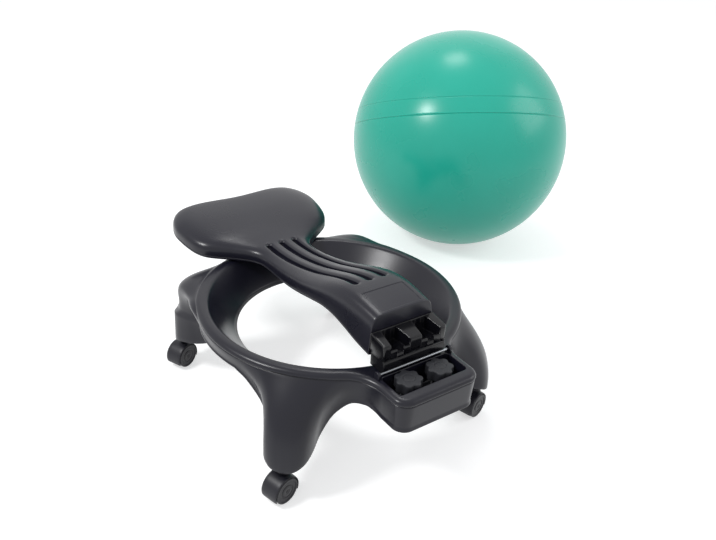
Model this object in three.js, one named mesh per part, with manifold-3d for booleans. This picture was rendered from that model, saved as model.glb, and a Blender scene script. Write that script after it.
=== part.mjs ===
// Balance ball chair: a moulded ring base on four twin-wheel casters, a back that folds
// on a cross pin, two star knobs in a tray, and a 52 cm exercise ball beside it.
// Millimetres, +Z up. The chair faces -Y, and its knob tray is at +Y.
import * as THREE from 'three';
import { mergeVertices } from 'three/addons/utils/BufferGeometryUtils.js';
import Module from 'manifold-3d';

const wasm = await Module();
wasm.setup();
const { Manifold } = wasm;
const degree = Math.PI / 180;

// Gaps and small common values
const fitGap = 0.3;            // between pieces that touch
const runGap = 0.35;           // between pieces that turn on each other
const overrun = 2;             // how far a cut goes past a face
const weld = 0.0001;           // points closer than this are one point

// The ring base
const deckHeight = 205;        // top of the ring above the floor
const ringRadius = 229;        // outer edge of the deck
const rimRadius = 211;         // where the deck turns down into the ball's collar
const collarRadius = 161;      // the hole through the collar
const collarDepth = 56;        // from the deck to the collar's lower edge
const baseWall = 3.2;
const rimRound = 4;
const archDepth = 32;          // wall below the deck between the legs
const rearArchDepth = 40;      // the same beside the knob tray
const wallInset = 4;           // how far the lower edge lies inside the deck's edge
const beadDepth = 8;           // rounded band round the deck's edge
const beadInset = 6;
const grooveDepth = 1.8;
const grooveWidth = 3.4;
// The deck's edge from the top down: how far in, as shares of beadInset and grooveDepth, and how
// far down, as shares of beadInset where it is plain and of beadDepth where the bead is full
const edgeShares = [
  { inset: 1, groove: 0, plain: 0, full: 0 },
  { inset: 0.25, groove: 0, plain: 0.2, full: 0.15 },
  { inset: 0, groove: 0, plain: 0.25, full: 0.44 },
  { inset: 0, groove: 0, plain: 0.33, full: 1 },
  { inset: 0, groove: 1, plain: 0.4, full: 1.21 },
];
const wallTopShares = { plain: 0.5, groove: 0.5 }; // where the wall starts below that edge
const rimDropShare = 0.125;    // of rimRound, at the rim's corner
const deckUnderShare = 0.5;    // of beadInset, between the deck's edge and its flat underside
const rimUnderShare = 0.83;    // of the wall, at the corner under the rim

// The block that carries the knob tray
const blockHalfWidth = 77;
const blockRear = 307;
const blockCorner = 24;
const blockFillet = 62;
const blockDepth = 57;
const filletClear = 2;         // degrees between the ring's last place and the fillet

// The legs
const rearLegAngle = 43.3;     // degrees from +X
const frontLegAngle = -50;
const rearReach = 292;         // ring centre to the outside of the toe
const frontReach = 297;
const footHeight = 60;         // lowest edge of the toe above the floor
const rearToeHalfWidth = 38.5;
const frontToeHalfWidth = 36;
const rearShoulderTurn = 25;   // degrees to each side in which a leg spreads into the ring
const rearShoulderOut = 33;
const rearShoulderDrop = 31;
const rearShinRise = 62;       // height over which the leg's face comes down upright
const frontShoulderTurn = 34;
const frontShoulderShift = 5;  // how far the front shoulders lie towards the sides
const frontShoulderOut = 64;
const frontShoulderDrop = -2.5;
const frontShinRise = 98;
const frontShinLean = 3;       // how far the front shins come in above the toe
const ribRise = 31;            // lowest edge of the legs' ribs above the toe
const ribStart = 12.8;         // how far the ribs reach in under the deck
const crossRibShare = 2;       // of the toe's half width, before the skin trims the rib
// One half of a leg's lower edge: turn from the leg's middle in degrees, then shares of the
// toe's half width, of the reach and of the drop, and how far it leaves the ring's own edge
const rearEdgeShares = [
  { turn: 0, across: 0, out: 1, drop: 1, leave: 1 },
  { turn: 4, across: 0.48, out: 0.99, drop: 0.965, leave: 1 },
  { turn: 7.5, across: 0.84, out: 0.95, drop: 0.89, leave: 1 },
  { turn: 11, across: 1.01, out: 0.87, drop: 0.83, leave: 1 },
  { turn: 14.5, across: 1.1, out: 0.77, drop: 0.72, leave: 0.96 },
  { turn: 18, across: 1.4, out: 0.715, drop: 0.42, leave: 0.7 },
  { turn: 22, across: 1.9, out: 0.7, drop: 0.13, leave: 0.28 },
  { turn: 27, across: 2.4, out: 0.7, drop: 0, leave: 0 },
];
const frontEdgeShares = [
  { turn: 0, across: 0, out: 1, drop: 1, leave: 1 },
  { turn: 4, across: 0.48, out: 0.99, drop: 0.98, leave: 1 },
  { turn: 7.5, across: 0.84, out: 0.95, drop: 0.94, leave: 1 },
  { turn: 11, across: 1, out: 0.87, drop: 0.91, leave: 1 },
  { turn: 14.5, across: 1, out: 0.79, drop: 0.88, leave: 1 },
  { turn: 18, across: 1.08, out: 0.725, drop: 0.77, leave: 0.95 },
  { turn: 22, across: 1.6, out: 0.7, drop: 0.33, leave: 0.55 },
  { turn: 27, across: 2.4, out: 0.7, drop: 0, leave: 0 },
];

// The knob tray sunk in the block
const trayHalfWidth = 64.5;
const trayToRear = 22;         // from the tray to the block's rear face
const trayLength = 48.5;
const trayRear = blockRear - trayToRear;
const trayFront = trayRear - trayLength;
const trayDepth = 41;
const trayCorner = 6;
const trayWall = 3.2;

// The hinge of the back, a pin along the tray's front edge
const pinInFront = 1.3;        // of the tray
const pinRise = 6;             // above the deck
const pinY = trayFront - pinInFront;
const pinZ = deckHeight + pinRise;
const pinRadius = 2.6;
const earThickness = 5;
const earGap = 2;              // between the tray and the ears
const pinHalf = trayHalfWidth + earGap + earThickness;
const earRadius = 5.8;
const lugRadius = 5.6;

// The knobs
const knobX = 30;
const knobToRear = 23.5;       // from the knobs' middles to the tray's rear
const knobY = trayRear - knobToRear;
const knobProud = 4.5;         // top above the deck
const knobRadius = 22;
const knobLobes = 7;
const lobeDepth = 3.6;
const knobThickness = 19;
const knobRound = 1.8;         // height of the chamfers round its edges
const knobLowShare = 0.95;     // of the radius, where the chamfers end
const knobTopShare = 0.88;
const hubRadius = 9;
const studRadius = 4;
const studInHead = 12;
const studEnd = 7.7;           // length of thread in the insert at rest
const washerRadius = 12;
const washerThickness = 2;
const knobTravel = 8;          // from rest to tight
const insertRadius = 6.2;
const insertLength = 13.4;

// The casters
const wheelDiameter = 45;
const wheelWidth = 13;
const webThickness = 6;
const axleRadius = 2.5;
const hoodWall = 2;
const hoodClear = 1.2;         // between the wheels and the hood
const hoodCover = 13;          // how much of each wheel's tread the hood covers
const hoodTurn = 25;           // degrees below the axle where the hood ends
const bossSink = 6;            // how far the stem's boss reaches below the top of the wheels
const casterTrail = 10;
const casterTurn = 15;         // degrees from +X in which the wheels trail
const frontLeftTurn = 24;
const casterHeight = 57;       // floor to the socket's seat
const stemRadius = 5;
const stemLength = 32;
const stemBossRadius = 8;
const socketWall = 1.8;
const socketFlange = 10.5;
const socketFlangeThickness = 2;
const footBossWall = 3.2;
const rearToeToStem = 20;      // outside of the toe to the caster's stem
const frontToeToStem = 13;
const bossBelowSeat = 3.7;     // the hood's boss ends this far below the socket
const shoulderRadius = 7.2;
const shoulderThickness = 1.4;
const rimSink = 1.4;           // the wheel's face lies this far inside its rim
const rimWidth = 2;
const rimBevel = 1.2;
const treadRound = 2;
const wheelRadius = wheelDiameter / 2;

// The back, folded down over the ring
const shellToPin = 37.2;
const shellEnd = pinY - shellToPin; // foot end of the shells
const backLength = 566;        // foot end to the tip of the pad
const backWall = 3;
const backCrown = 92;          // highest point of the back above the deck
const padHalfWidth = 149;
const topSquareness = 0.52;
const undersideSquareness = 0.45;
// Stations along the back: shares of backLength from the foot end, of padHalfWidth, and of
// backCrown above the deck for the top, the parting edge and the underside's middle
const backShares = [
  { along: 0, wide: 0.411, top: 0.902, edge: 0.22, under: 0.16 },
  { along: 0.053, wide: 0.424, top: 0.951, edge: 0.285, under: 0.23 },
  { along: 0.108, wide: 0.434, top: 1, edge: 0.385, under: 0.33 },
  { along: 0.164, wide: 0.437, top: 1, edge: 0.46, under: 0.41 },
  { along: 0.221, wide: 0.434, top: 0.886, edge: 0.45, under: 0.4 },
  { along: 0.281, wide: 0.424, top: 0.772, edge: 0.375, under: 0.32 },
  { along: 0.35, wide: 0.404, top: 0.636, edge: 0.26, under: 0.2 },
  { along: 0.403, wide: 0.384, top: 0.5, edge: 0.17, under: 0.115 },
  { along: 0.456, wide: 0.368, top: 0.457, edge: 0.115, under: 0.06 },
  { along: 0.514, wide: 0.351, top: 0.359, edge: 0.075, under: 0.02 },
  { along: 0.572, wide: 0.341, top: 0.342, edge: 0.065, under: 0.0033 },
  { along: 0.615, wide: 0.364, top: 0.327, edge: 0.07, under: 0.0033 },
  { along: 0.657, wide: 0.5, top: 0.337, edge: 0.08, under: 0.0033 },
  { along: 0.696, wide: 0.69, top: 0.38, edge: 0.1, under: 0.0033 },
  { along: 0.753, wide: 0.865, top: 0.446, edge: 0.13, under: 0.0033 },
  { along: 0.823, wide: 0.974, top: 0.511, edge: 0.17, under: 0.07 },
  { along: 0.88, wide: 1, top: 0.554, edge: 0.2, under: 0.1 },
  { along: 0.942, wide: 0.93, top: 0.58, edge: 0.235, under: 0.14 },
  { along: 0.979, wide: 0.81, top: 0.555, edge: 0.27, under: 0.19 },
  { along: 0.996, wide: 0.7, top: 0.46, edge: 0.31, under: 0.26 },
  { along: 1, wide: 0.66, top: 0.37, edge: 0.33, under: 0.31 },
];
const slotSpacing = 27;
const slotWidth = 8;
const slotsFromEnd = 85;       // from the foot end
const slotsLength = 283;
const slotStart = shellEnd - slotsFromEnd;
const slotEnd = slotStart - slotsLength;
const slotDepth = 13;
const slotWall = 2.4;
const slotTipShares = [0.04, 1]; // places round a slot's end, of its half width
const panelHalfWidth = 39;
const panelFromEnd = 5;
const panelLength = 50;
const panelEnd = shellEnd - panelFromEnd;
const panelStart = panelEnd - panelLength;
const panelDepth = 0.5;        // at the panel's edges
const screwRadius = 1.8;
const screwHeadRadius = 3.6;
const screwLength = 18;
const bossRadius = 5;
const screwLow = 1;            // the screws' heads lie this far up in the underside
const screwHead = 2;
const hollowShare = 5;         // the back is hollow where it is this many walls high
const thinShare = 0.25;        // least height of the hollow below the parting edge, in walls
// Screw places as shares of backLength from the foot end and of the half width there
const screwShares = [
  { along: 0.245, across: 0.66 },
  { along: 0.46, across: 0.7 },
  { along: 0.87, across: 0.6 },
];

// The foot block at the end of the back, which the tray's studs pass into when upright
const footHalfWidth = 60;
const footLength = 37;
const footGap = 23;            // between the deck and the block
const footTallInboard = 34;
const footTallEnd = 28;
const footEnd = shellEnd + footLength;
const footBottom = deckHeight + footGap;
const footTopInboard = footBottom + footTallInboard;
const footTopEnd = footBottom + footTallEnd;
const footRound = 2.5;
const footCorner = 5;
const pocketFloorThickness = 10;
const pocketFloor = footBottom + pocketFloorThickness;
const pocketX = 29;
const pocketHalfInboard = 13.5;
const pocketHalfEnd = 18.5;
const pocketWall = 6;          // between the pockets and the shells
const pocketInboard = shellEnd + pocketWall;
const spigotHalfWidth = 44;
const spigotLength = 30;
const lugX = 57;
const lugHalfWidth = 3;
const middleLugHalfWidth = 5;
const lugFoot = 22.4;          // length of a lug where it leaves the block
const spigotInset = 8;         // the spigot's underside above the block's
const spigotDepth = 21;
const pocketLip = 3.5;
const lipHeight = 7;
const lipSlot = 6;

// The ball
const ballDiameter = 520;
const ballWall = 1.3;
const ballX = -634;
const ballY = -393.5;
const ballTilt = 23.8;         // degrees that the moulding's axis leans
const ballHeading = -116.3;    // and the way it leans
const ballRings = [26.3, 18.7, 9.5]; // degrees of the moulded rings above the ball's equator
const beadHeight = 0.7;
const beadHalfWidth = 2.2;
const beadClearShare = 0.9;    // of a bead's half width, kept clear of the ball's own rows
const valveRadius = 5;
const valveLength = 16;
const valveHeadRadius = 8;
const valveLip = 1.2;

// Facets
const roundFacets = 18;
const smallFacets = 10;
const wheelFacets = 14;
const hoodSteps = 5;
const screwFacets = 6;
const ballFacets = 28;
const ballRows = 14;
const ballInnerRows = 7;
const sideSteps = 3;
const lobeFacets = 4;
const cornerSteps = 3;
const filletSteps = 4;
const faceSteps = 5;
const backSideSteps = 4;
const slotSteps = 8;
const footSteps = 2;

// Materials
const blackPlastic = { color: 0x1d1d21, roughness: 0.42, metalness: 0 };
const glossPlastic = { color: 0x151518, roughness: 0.22, metalness: 0 };
const knobPlastic = { color: 0x2b2b2f, roughness: 0.55, metalness: 0 };
const wheelPlastic = { color: 0x222226, roughness: 0.45, metalness: 0 };
const steel = { color: 0x8d9094, roughness: 0.32, metalness: 1 };
const brass = { color: 0xb08d4a, roughness: 0.35, metalness: 1 };
const ballVinyl = { color: 0x2fa08c, roughness: 0.38, metalness: 0 };

// Solids

// Signed volume of an indexed geometry, positive when its faces point out
function volumeOf(positions, index) {
  const a = new THREE.Vector3();
  const b = new THREE.Vector3();
  const c = new THREE.Vector3();
  let six = 0;
  for (let i = 0; i < index.length; i += 3) {
    a.fromArray(positions, index[i] * 3);
    b.fromArray(positions, index[i + 1] * 3);
    c.fromArray(positions, index[i + 2] * 3);
    six += a.dot(b.cross(c));
  }
  return six / 6;
}

// A geometry as a solid: one point where several meet, no empty triangles, faces out
function toSolid(geometry) {
  const bare = new THREE.BufferGeometry();
  bare.setAttribute('position', geometry.getAttribute('position').clone());
  if (geometry.index) bare.setIndex(geometry.index.clone());
  const joined = mergeVertices(bare, weld);
  const positions = joined.getAttribute('position').array;
  const kept = [];
  const all = joined.index.array;
  for (let i = 0; i < all.length; i += 3) {
    const [p, q, r] = [all[i], all[i + 1], all[i + 2]];
    if (p !== q && q !== r && r !== p) kept.push(p, q, r);
  }
  if (volumeOf(positions, kept) < 0) kept.reverse();
  const mesh = new wasm.Mesh({
    numProp: 3,
    vertProperties: new Float32Array(positions),
    triVerts: new Uint32Array(kept),
  });
  mesh.merge();
  return new Manifold(mesh);
}

// A solid as a geometry
function toGeometry(solid) {
  const mesh = solid.getMesh();
  const geometry = new THREE.BufferGeometry();
  geometry.setAttribute('position', new THREE.BufferAttribute(mesh.vertProperties, 3));
  geometry.setIndex(new THREE.BufferAttribute(mesh.triVerts, 1));
  geometry.computeVertexNormals();
  return geometry;
}

// Surface through rings of points, closed round each ring. The rings close on each other
// when joined is true, and otherwise each end has a flat cap about its middle.
function ringSurface(rings, joined) {
  const count = rings[0].length;
  const points = rings.flat();
  const index = [];
  const spans = joined ? rings.length : rings.length - 1;
  for (let i = 0; i < spans; i += 1) {
    const here = i * count;
    const next = ((i + 1) % rings.length) * count;
    for (let j = 0; j < count; j += 1) {
      const k = (j + 1) % count;
      index.push(here + j, next + j, next + k, here + j, next + k, here + k);
    }
  }
  if (!joined) {
    for (const [start, turned] of [[0, false], [(rings.length - 1) * count, true]]) {
      const middle = new THREE.Vector3();
      for (let j = 0; j < count; j += 1) middle.addScaledVector(points[start + j], 1 / count);
      points.push(middle);
      for (let j = 0; j < count; j += 1) {
        const k = (j + 1) % count;
        const pair = turned ? [start + k, start + j] : [start + j, start + k];
        index.push(points.length - 1, ...pair);
      }
    }
  }
  const geometry = new THREE.BufferGeometry().setFromPoints(points);
  geometry.setIndex(index);
  return toSolid(geometry);
}

// A profile of [radius, height] points turned about an upright axis at x, y
function turned(profile, facets, x = 0, y = 0) {
  const points = profile.map(([radius, height]) => new THREE.Vector2(radius, height));
  const geometry = new THREE.LatheGeometry([...points, points[0]], facets);
  geometry.rotateX(Math.PI / 2);
  geometry.translate(x, y, 0);
  return toSolid(geometry);
}

// Upright cylinder between two heights
function post(radius, low, high, x, y, facets = smallFacets) {
  return turned([[0, low], [radius, low], [radius, high], [0, high]], facets, x, y);
}

// Cylinder along X between two places
function bar(radius, start, end, y, z, facets = smallFacets) {
  const geometry = new THREE.CylinderGeometry(radius, radius, end - start, facets);
  geometry.rotateZ(Math.PI / 2);
  geometry.translate((start + end) / 2, y, z);
  return toSolid(geometry);
}

// Box between two corners
function block([x0, y0, z0], [x1, y1, z1]) {
  const geometry = new THREE.BoxGeometry(x1 - x0, y1 - y0, z1 - z0);
  geometry.translate((x0 + x1) / 2, (y0 + y1) / 2, (z0 + z1) / 2);
  return toSolid(geometry);
}

// Plan outline carried upright between two heights
function upright(shape, low, high, curveSegments = cornerSteps) {
  const geometry = new THREE.ExtrudeGeometry(shape, {
    depth: high - low,
    bevelEnabled: false,
    curveSegments,
  });
  geometry.translate(0, 0, low);
  return toSolid(geometry);
}

// Outline in the Y, Z plane carried along X between two places
function across(shape, start, end, curveSegments = cornerSteps) {
  const geometry = new THREE.ExtrudeGeometry(shape, {
    depth: end - start,
    bevelEnabled: false,
    curveSegments,
  });
  geometry.rotateX(Math.PI / 2);
  geometry.rotateZ(Math.PI / 2);
  geometry.translate(start, 0, 0);
  return toSolid(geometry);
}

// Rectangle with round corners
function roundedRectangle(x0, y0, x1, y1, radius) {
  const shape = new THREE.Shape();
  shape.moveTo(x0 + radius, y0);
  shape.lineTo(x1 - radius, y0);
  shape.absarc(x1 - radius, y0 + radius, radius, -Math.PI / 2, 0);
  shape.lineTo(x1, y1 - radius);
  shape.absarc(x1 - radius, y1 - radius, radius, 0, Math.PI / 2);
  shape.lineTo(x0 + radius, y1);
  shape.absarc(x0 + radius, y1 - radius, radius, Math.PI / 2, Math.PI);
  shape.lineTo(x0, y0 + radius);
  shape.absarc(x0 + radius, y0 + radius, radius, Math.PI, Math.PI * 1.5);
  return shape;
}

// Straight-sided outline
function polygon(points) {
  return new THREE.Shape(points.map(([x, y]) => new THREE.Vector2(x, y)));
}

function smooth(share) {
  const s = Math.min(Math.max(share, 0), 1);
  return s * s * (3 - 2 * s);
}

// Values between the rows of a table of shares, along a smooth curve through them
function rowAt(table, key, value) {
  const last = table.length - 1;
  const at = Math.min(Math.max(value, table[0][key]), table[last][key]);
  let i = 0;
  while (i < last - 1 && table[i + 1][key] < at) i += 1;
  const t = (at - table[i][key]) / (table[i + 1][key] - table[i][key]);
  const row = {};
  for (const name of Object.keys(table[0])) {
    const value1 = table[i][name];
    const value2 = table[i + 1][name];
    const before = i > 0 ? table[i - 1] : table[i];
    const after = i < last - 1 ? table[i + 2] : table[i + 1];
    const slope1 = (value2 - before[name]) / (table[i + 1][key] - before[key]);
    const slope2 = (after[name] - value1) / (after[key] - table[i][key]);
    const span = table[i + 1][key] - table[i][key];
    const curve = new THREE.CubicBezierCurve(
      new THREE.Vector2(0, value1),
      new THREE.Vector2(0, value1 + (slope1 * span) / 3),
      new THREE.Vector2(0, value2 - (slope2 * span) / 3),
      new THREE.Vector2(0, value2),
    );
    row[name] = curve.getPoint(t).y;
  }
  return row;
}

// The ring base

const rearLeg = {
  reach: rearReach,
  stem: rearReach - rearToeToStem,
  toe: rearToeHalfWidth,
  edge: rearEdgeShares,
  shoulder: rearShoulderTurn,
  shift: 0,
  out: rearShoulderOut,
  down: rearShoulderDrop,
  rise: rearShinRise,
  lean: 0,
  bead: true,
};
const frontLeg = {
  reach: frontReach,
  stem: frontReach - frontToeToStem,
  toe: frontToeHalfWidth,
  edge: frontEdgeShares,
  shoulder: frontShoulderTurn,
  shift: frontShoulderShift,
  out: frontShoulderOut,
  down: frontShoulderDrop,
  rise: frontShinRise,
  lean: frontShinLean,
  bead: false,
};
const legs = [
  { ...rearLeg, name: 'rear_left', side: 1, angle: rearLegAngle, heading: casterTurn },
  { ...rearLeg, name: 'rear_right', side: -1, angle: 180 - rearLegAngle, heading: casterTurn },
  { ...frontLeg, name: 'front_right', side: -1, angle: 180 - frontLegAngle, heading: casterTurn },
  { ...frontLeg, name: 'front_left', side: 1, angle: frontLegAngle, heading: frontLeftTurn },
];

const filletY = Math.sqrt((ringRadius + blockFillet) ** 2 - (blockHalfWidth + blockFillet) ** 2);
const filletX = blockHalfWidth + blockFillet;
const filletStart = Math.atan2(filletY, filletX) / degree;

// One place on the deck's edge: where it is, the way out, and how deep the wall is there
function edgePlace(x, y, outX, outY, depth, straight) {
  const turn = Math.atan2(y, x) / degree;
  const at = new THREE.Vector2(x, y);
  const out = new THREE.Vector2(outX, outY);
  return { at, out, turn, depth, straight };
}

function ringPlace(angle) {
  const x = Math.cos(angle * degree);
  const y = Math.sin(angle * degree);
  const depth = angle > rearLegAngle ? rearArchDepth : archDepth;
  return edgePlace(ringRadius * x, ringRadius * y, x, y, depth, false);
}

// Places along the right half of the edge, from the front's middle round to the tray's rear
function halfEdge() {
  const turns = rearEdgeShares.map((row) => row.turn);
  const angles = [-90, (-90 + frontLegAngle - turns.at(-1)) / 2];
  const both = [...turns.slice(1).reverse().map((turn) => -turn), ...turns];
  angles.push(...both.map((turn) => frontLegAngle + turn));
  const between = [frontLegAngle + turns.at(-1), rearLegAngle - turns.at(-1)];
  for (let i = 1; i < sideSteps; i += 1) {
    angles.push(between[0] + ((between[1] - between[0]) * i) / sideSteps);
  }
  const rear = both.map((turn) => rearLegAngle + turn);
  angles.push(...rear.filter((angle) => angle < filletStart - filletClear));
  const places = angles.map(ringPlace);
  for (let i = 0; i <= filletSteps; i += 1) {
    const share = i / filletSteps;
    const angle = Math.PI + filletStart * (1 - share) * degree;
    const outX = -Math.cos(angle);
    const outY = -Math.sin(angle);
    const x = filletX - blockFillet * outX;
    const y = filletY - blockFillet * outY;
    const depth = rearArchDepth + (blockDepth - rearArchDepth) * share;
    places.push(edgePlace(x, y, outX, outY, depth, i === filletSteps));
  }
  for (let i = 0; i <= cornerSteps; i += 1) {
    const angle = (Math.PI / 2) * (i / cornerSteps);
    const outX = Math.cos(angle);
    const outY = Math.sin(angle);
    const x = blockHalfWidth - blockCorner + blockCorner * outX;
    const y = blockRear - blockCorner + blockCorner * outY;
    places.push(edgePlace(x, y, outX, outY, blockDepth, true));
  }
  for (const x of [(blockHalfWidth - blockCorner) / 2, 0]) {
    places.push(edgePlace(x, blockRear, 0, 1, blockDepth, true));
  }
  return places;
}

function wholeEdge() {
  const right = halfEdge();
  const left = right.slice(1, -1).reverse().map((place) => ({
    ...place,
    at: new THREE.Vector2(-place.at.x, place.at.y),
    out: new THREE.Vector2(-place.out.x, place.out.y),
    turn: 180 - place.turn,
  }));
  return [...right, ...left];
}

// The leg that a place belongs to, with the signed turn from the leg's middle
function legAt(place) {
  let nearest = null;
  for (const leg of legs) {
    const turn = ((place.turn - leg.angle + 540) % 360) - 180;
    if (!nearest || Math.abs(turn) < Math.abs(nearest.turn)) nearest = { leg, turn };
  }
  return nearest;
}

// How full the bead is at a place: it fades out over the front legs' shoulders
function beadAt(place) {
  const { leg, turn } = legAt(place);
  return leg.bead ? 1 : smooth(2 * Math.abs(turn * leg.side - leg.shift) / leg.shoulder - 1);
}

// The wall below the deck's edge, as a curve from under the bead down to the lower edge
function wallCurve(place) {
  const { leg, turn } = legAt(place);
  const row = rowAt(leg.edge, 'turn', Math.abs(turn));
  const spread = smooth(1 - Math.abs(turn * leg.side - leg.shift) / leg.shoulder);
  const bead = beadAt(place);
  const outward = new THREE.Vector3(place.out.x, place.out.y, 0);
  const plain = beadInset * wallTopShares.plain * (1 - bead);
  const topZ = deckHeight - plain - (beadDepth + grooveWidth) * bead;
  const start = new THREE.Vector3(place.at.x, place.at.y, topZ)
    .addScaledVector(outward, -grooveDepth * (bead - wallTopShares.groove));
  const legX = Math.cos(leg.angle * degree);
  const legY = Math.sin(leg.angle * degree);
  const aside = Math.sign(turn) * row.across * leg.toe;
  const toe = new THREE.Vector3(
    row.out * leg.reach * legX - aside * legY,
    row.out * leg.reach * legY + aside * legX,
    0,
  );
  const under = new THREE.Vector3(
    place.at.x - place.out.x * wallInset,
    place.at.y - place.out.y * wallInset,
    0,
  );
  const end = under.lerp(toe, Math.max(row.leave, 0));
  const plainZ = deckHeight - place.depth;
  end.z = plainZ - (plainZ - footHeight) * Math.max(row.drop, 0);
  if (place.straight) return new THREE.LineCurve3(start, end);
  const rise = (start.z - end.z) / 3;
  const first = start.clone().addScaledVector(outward, leg.out * spread);
  first.z -= rise * (1 - spread) + leg.down * spread;
  const second = end.clone();
  second.addScaledVector(new THREE.Vector3(legX, legY, 0), -leg.lean * spread);
  second.z += rise + (leg.rise - rise) * Math.max(row.drop, 0) * spread;
  return new THREE.CubicBezierCurve3(start, first, second, end);
}

// Rings of points for the base: the skin's outside, and the same set in by a thickness
function baseSections() {
  const places = wholeEdge();
  const walls = places.map((place) => wallCurve(place).getPoints(faceSteps));
  const coneRise = new THREE.Vector2(rimRadius - rimRound - collarRadius, collarDepth - rimRound);
  const coneLean = coneRise.x / coneRise.y;
  const count = places.length;
  const sections = places.map((place, i) => {
    const radial = new THREE.Vector2(Math.cos(place.turn * degree), Math.sin(place.turn * degree));
    const inward = (radius, z) => new THREE.Vector3(radius * radial.x, radius * radial.y, z);
    const edge = (inset, z) => new THREE.Vector3(
      place.at.x - inset * place.out.x,
      place.at.y - inset * place.out.y,
      z,
    );
    const bead = beadAt(place);
    const low = deckHeight - collarDepth;
    const setIn = (j, thickness) => {
      const before = walls[(i + count - 1) % count][j];
      const after = walls[(i + 1) % count][j];
      const along = after.clone().sub(before);
      const down = walls[i][Math.min(j + 1, faceSteps)].clone().sub(walls[i][Math.max(j - 1, 0)]);
      const normal = down.cross(along).normalize();
      return walls[i][j].clone().addScaledVector(normal, -thickness);
    };
    const outer = [
      inward(collarRadius, low),
      inward(collarRadius + coneRise.x / 2, low + coneRise.y / 2),
      inward(rimRadius - rimRound, deckHeight - rimRound),
      inward(rimRadius, deckHeight - rimRound * rimDropShare),
      inward(rimRadius + rimRound, deckHeight),
      ...edgeShares.map((row) => edge(
        row.inset * beadInset + row.groove * grooveDepth * bead,
        deckHeight - row.plain * beadInset * (1 - bead) - row.full * beadDepth * bead,
      )),
      ...walls[i],
    ];
    const inner = (thickness) => [
      setIn(faceSteps, thickness),
      setIn(faceSteps - 2, thickness),
      setIn(1, thickness),
      edge(thickness + grooveDepth, deckHeight - beadDepth),
      edge(thickness + beadInset * deckUnderShare, deckHeight - thickness),
      inward(
        rimRadius - rimRound + thickness * (1 + coneLean) * rimUnderShare,
        deckHeight - thickness,
      ),
      inward(collarRadius + thickness * Math.hypot(1, coneLean), low),
    ];
    return { outer, inner };
  });
  return sections;
}

function baseFrame() {
  const sections = baseSections();
  const skin = ringSurface(sections.map(({ outer, inner }) => [...outer, ...inner(baseWall)]), true);
  // everything below the middle of the skin, which trims the ribs and posts inside
  const fill = ringSurface(sections.map(({ inner }) => {
    const middle = inner(baseWall / 2);
    const [end, rim] = [middle[0], middle.at(-1)];
    const low = (point) => new THREE.Vector3(point.x, point.y, 0);
    return [...middle, low(rim), low(end)];
  }), true);
  const added = [];
  const cuts = [];
  for (const leg of legs) {
    const stem = stemPlace(leg);
    const plate = ([x0, x1], [y0, y1]) => block(
      [x0, y0, footHeight + ribRise],
      [x1, y1, deckHeight],
    ).rotate([0, 0, leg.angle]);
    const half = footBossWall / 2;
    const crossHalf = leg.toe * crossRibShare;
    const boreRadius = stemRadius + runGap + socketWall + fitGap;
    // the post and its bore are turned as the caster is, so that their facets line up
    const place = (solid) => solid.rotate([0, 0, leg.heading]).translate([stem.x, stem.y, 0]);
    const postLow = casterHeight + socketFlangeThickness + fitGap;
    added.push(place(post(boreRadius + footBossWall, postLow, deckHeight, 0, 0)));
    added.push(plate([ringRadius - ribStart, leg.reach], [-half, half]));
    added.push(plate([leg.stem - half, leg.stem + half], [-crossHalf, crossHalf]));
    const boreTop = casterHeight + stemLength + runGap + socketWall + fitGap;
    cuts.push(place(post(boreRadius, 0, boreTop, 0, 0)));
  }
  const ribs = Manifold.union(added).intersect(fill);
  const trayLow = deckHeight - trayDepth;
  const tray = (grow, low, high) => upright(roundedRectangle(
    -trayHalfWidth - grow,
    trayFront - grow,
    trayHalfWidth + grow,
    trayRear + grow,
    trayCorner + grow,
  ), low, high);
  const parts = [skin, ribs, tray(trayWall, trayLow - trayWall, deckHeight - baseWall / 2)];
  cuts.push(tray(0, trayLow, deckHeight + overrun));
  for (const side of [-1, 1]) {
    const bore = insertRadius + fitGap;
    const x = side * knobX;
    const bossLow = trayLow - insertLength - fitGap;
    parts.push(post(bore + trayWall, bossLow, trayLow - trayWall / 2, x, knobY));
    cuts.push(post(bore, 0, trayLow + overrun, x, knobY));
    const ear = new THREE.Shape();
    ear.moveTo(pinY - earRadius, deckHeight - baseWall / 2);
    ear.lineTo(pinY + earRadius, deckHeight - baseWall / 2);
    ear.lineTo(pinY + earRadius, pinZ);
    ear.absarc(pinY, pinZ, earRadius, 0, Math.PI);
    const start = side > 0 ? pinHalf - earThickness : -pinHalf;
    parts.push(across(ear, start, start + earThickness));
  }
  cuts.push(bar(pinRadius + fitGap, -pinHalf - overrun, pinHalf + overrun, pinY, pinZ));
  return Manifold.union(parts).subtract(Manifold.union(cuts));
}

function stemPlace(leg) {
  return {
    x: leg.stem * Math.cos(leg.angle * degree),
    y: leg.stem * Math.sin(leg.angle * degree),
  };
}

// The back

// Height of a row of the back above the floor
function backHeight(share) {
  return deckHeight + share * backCrown;
}

function backRow(y) {
  return rowAt(backShares, 'along', (shellEnd - y) / backLength);
}

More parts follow.
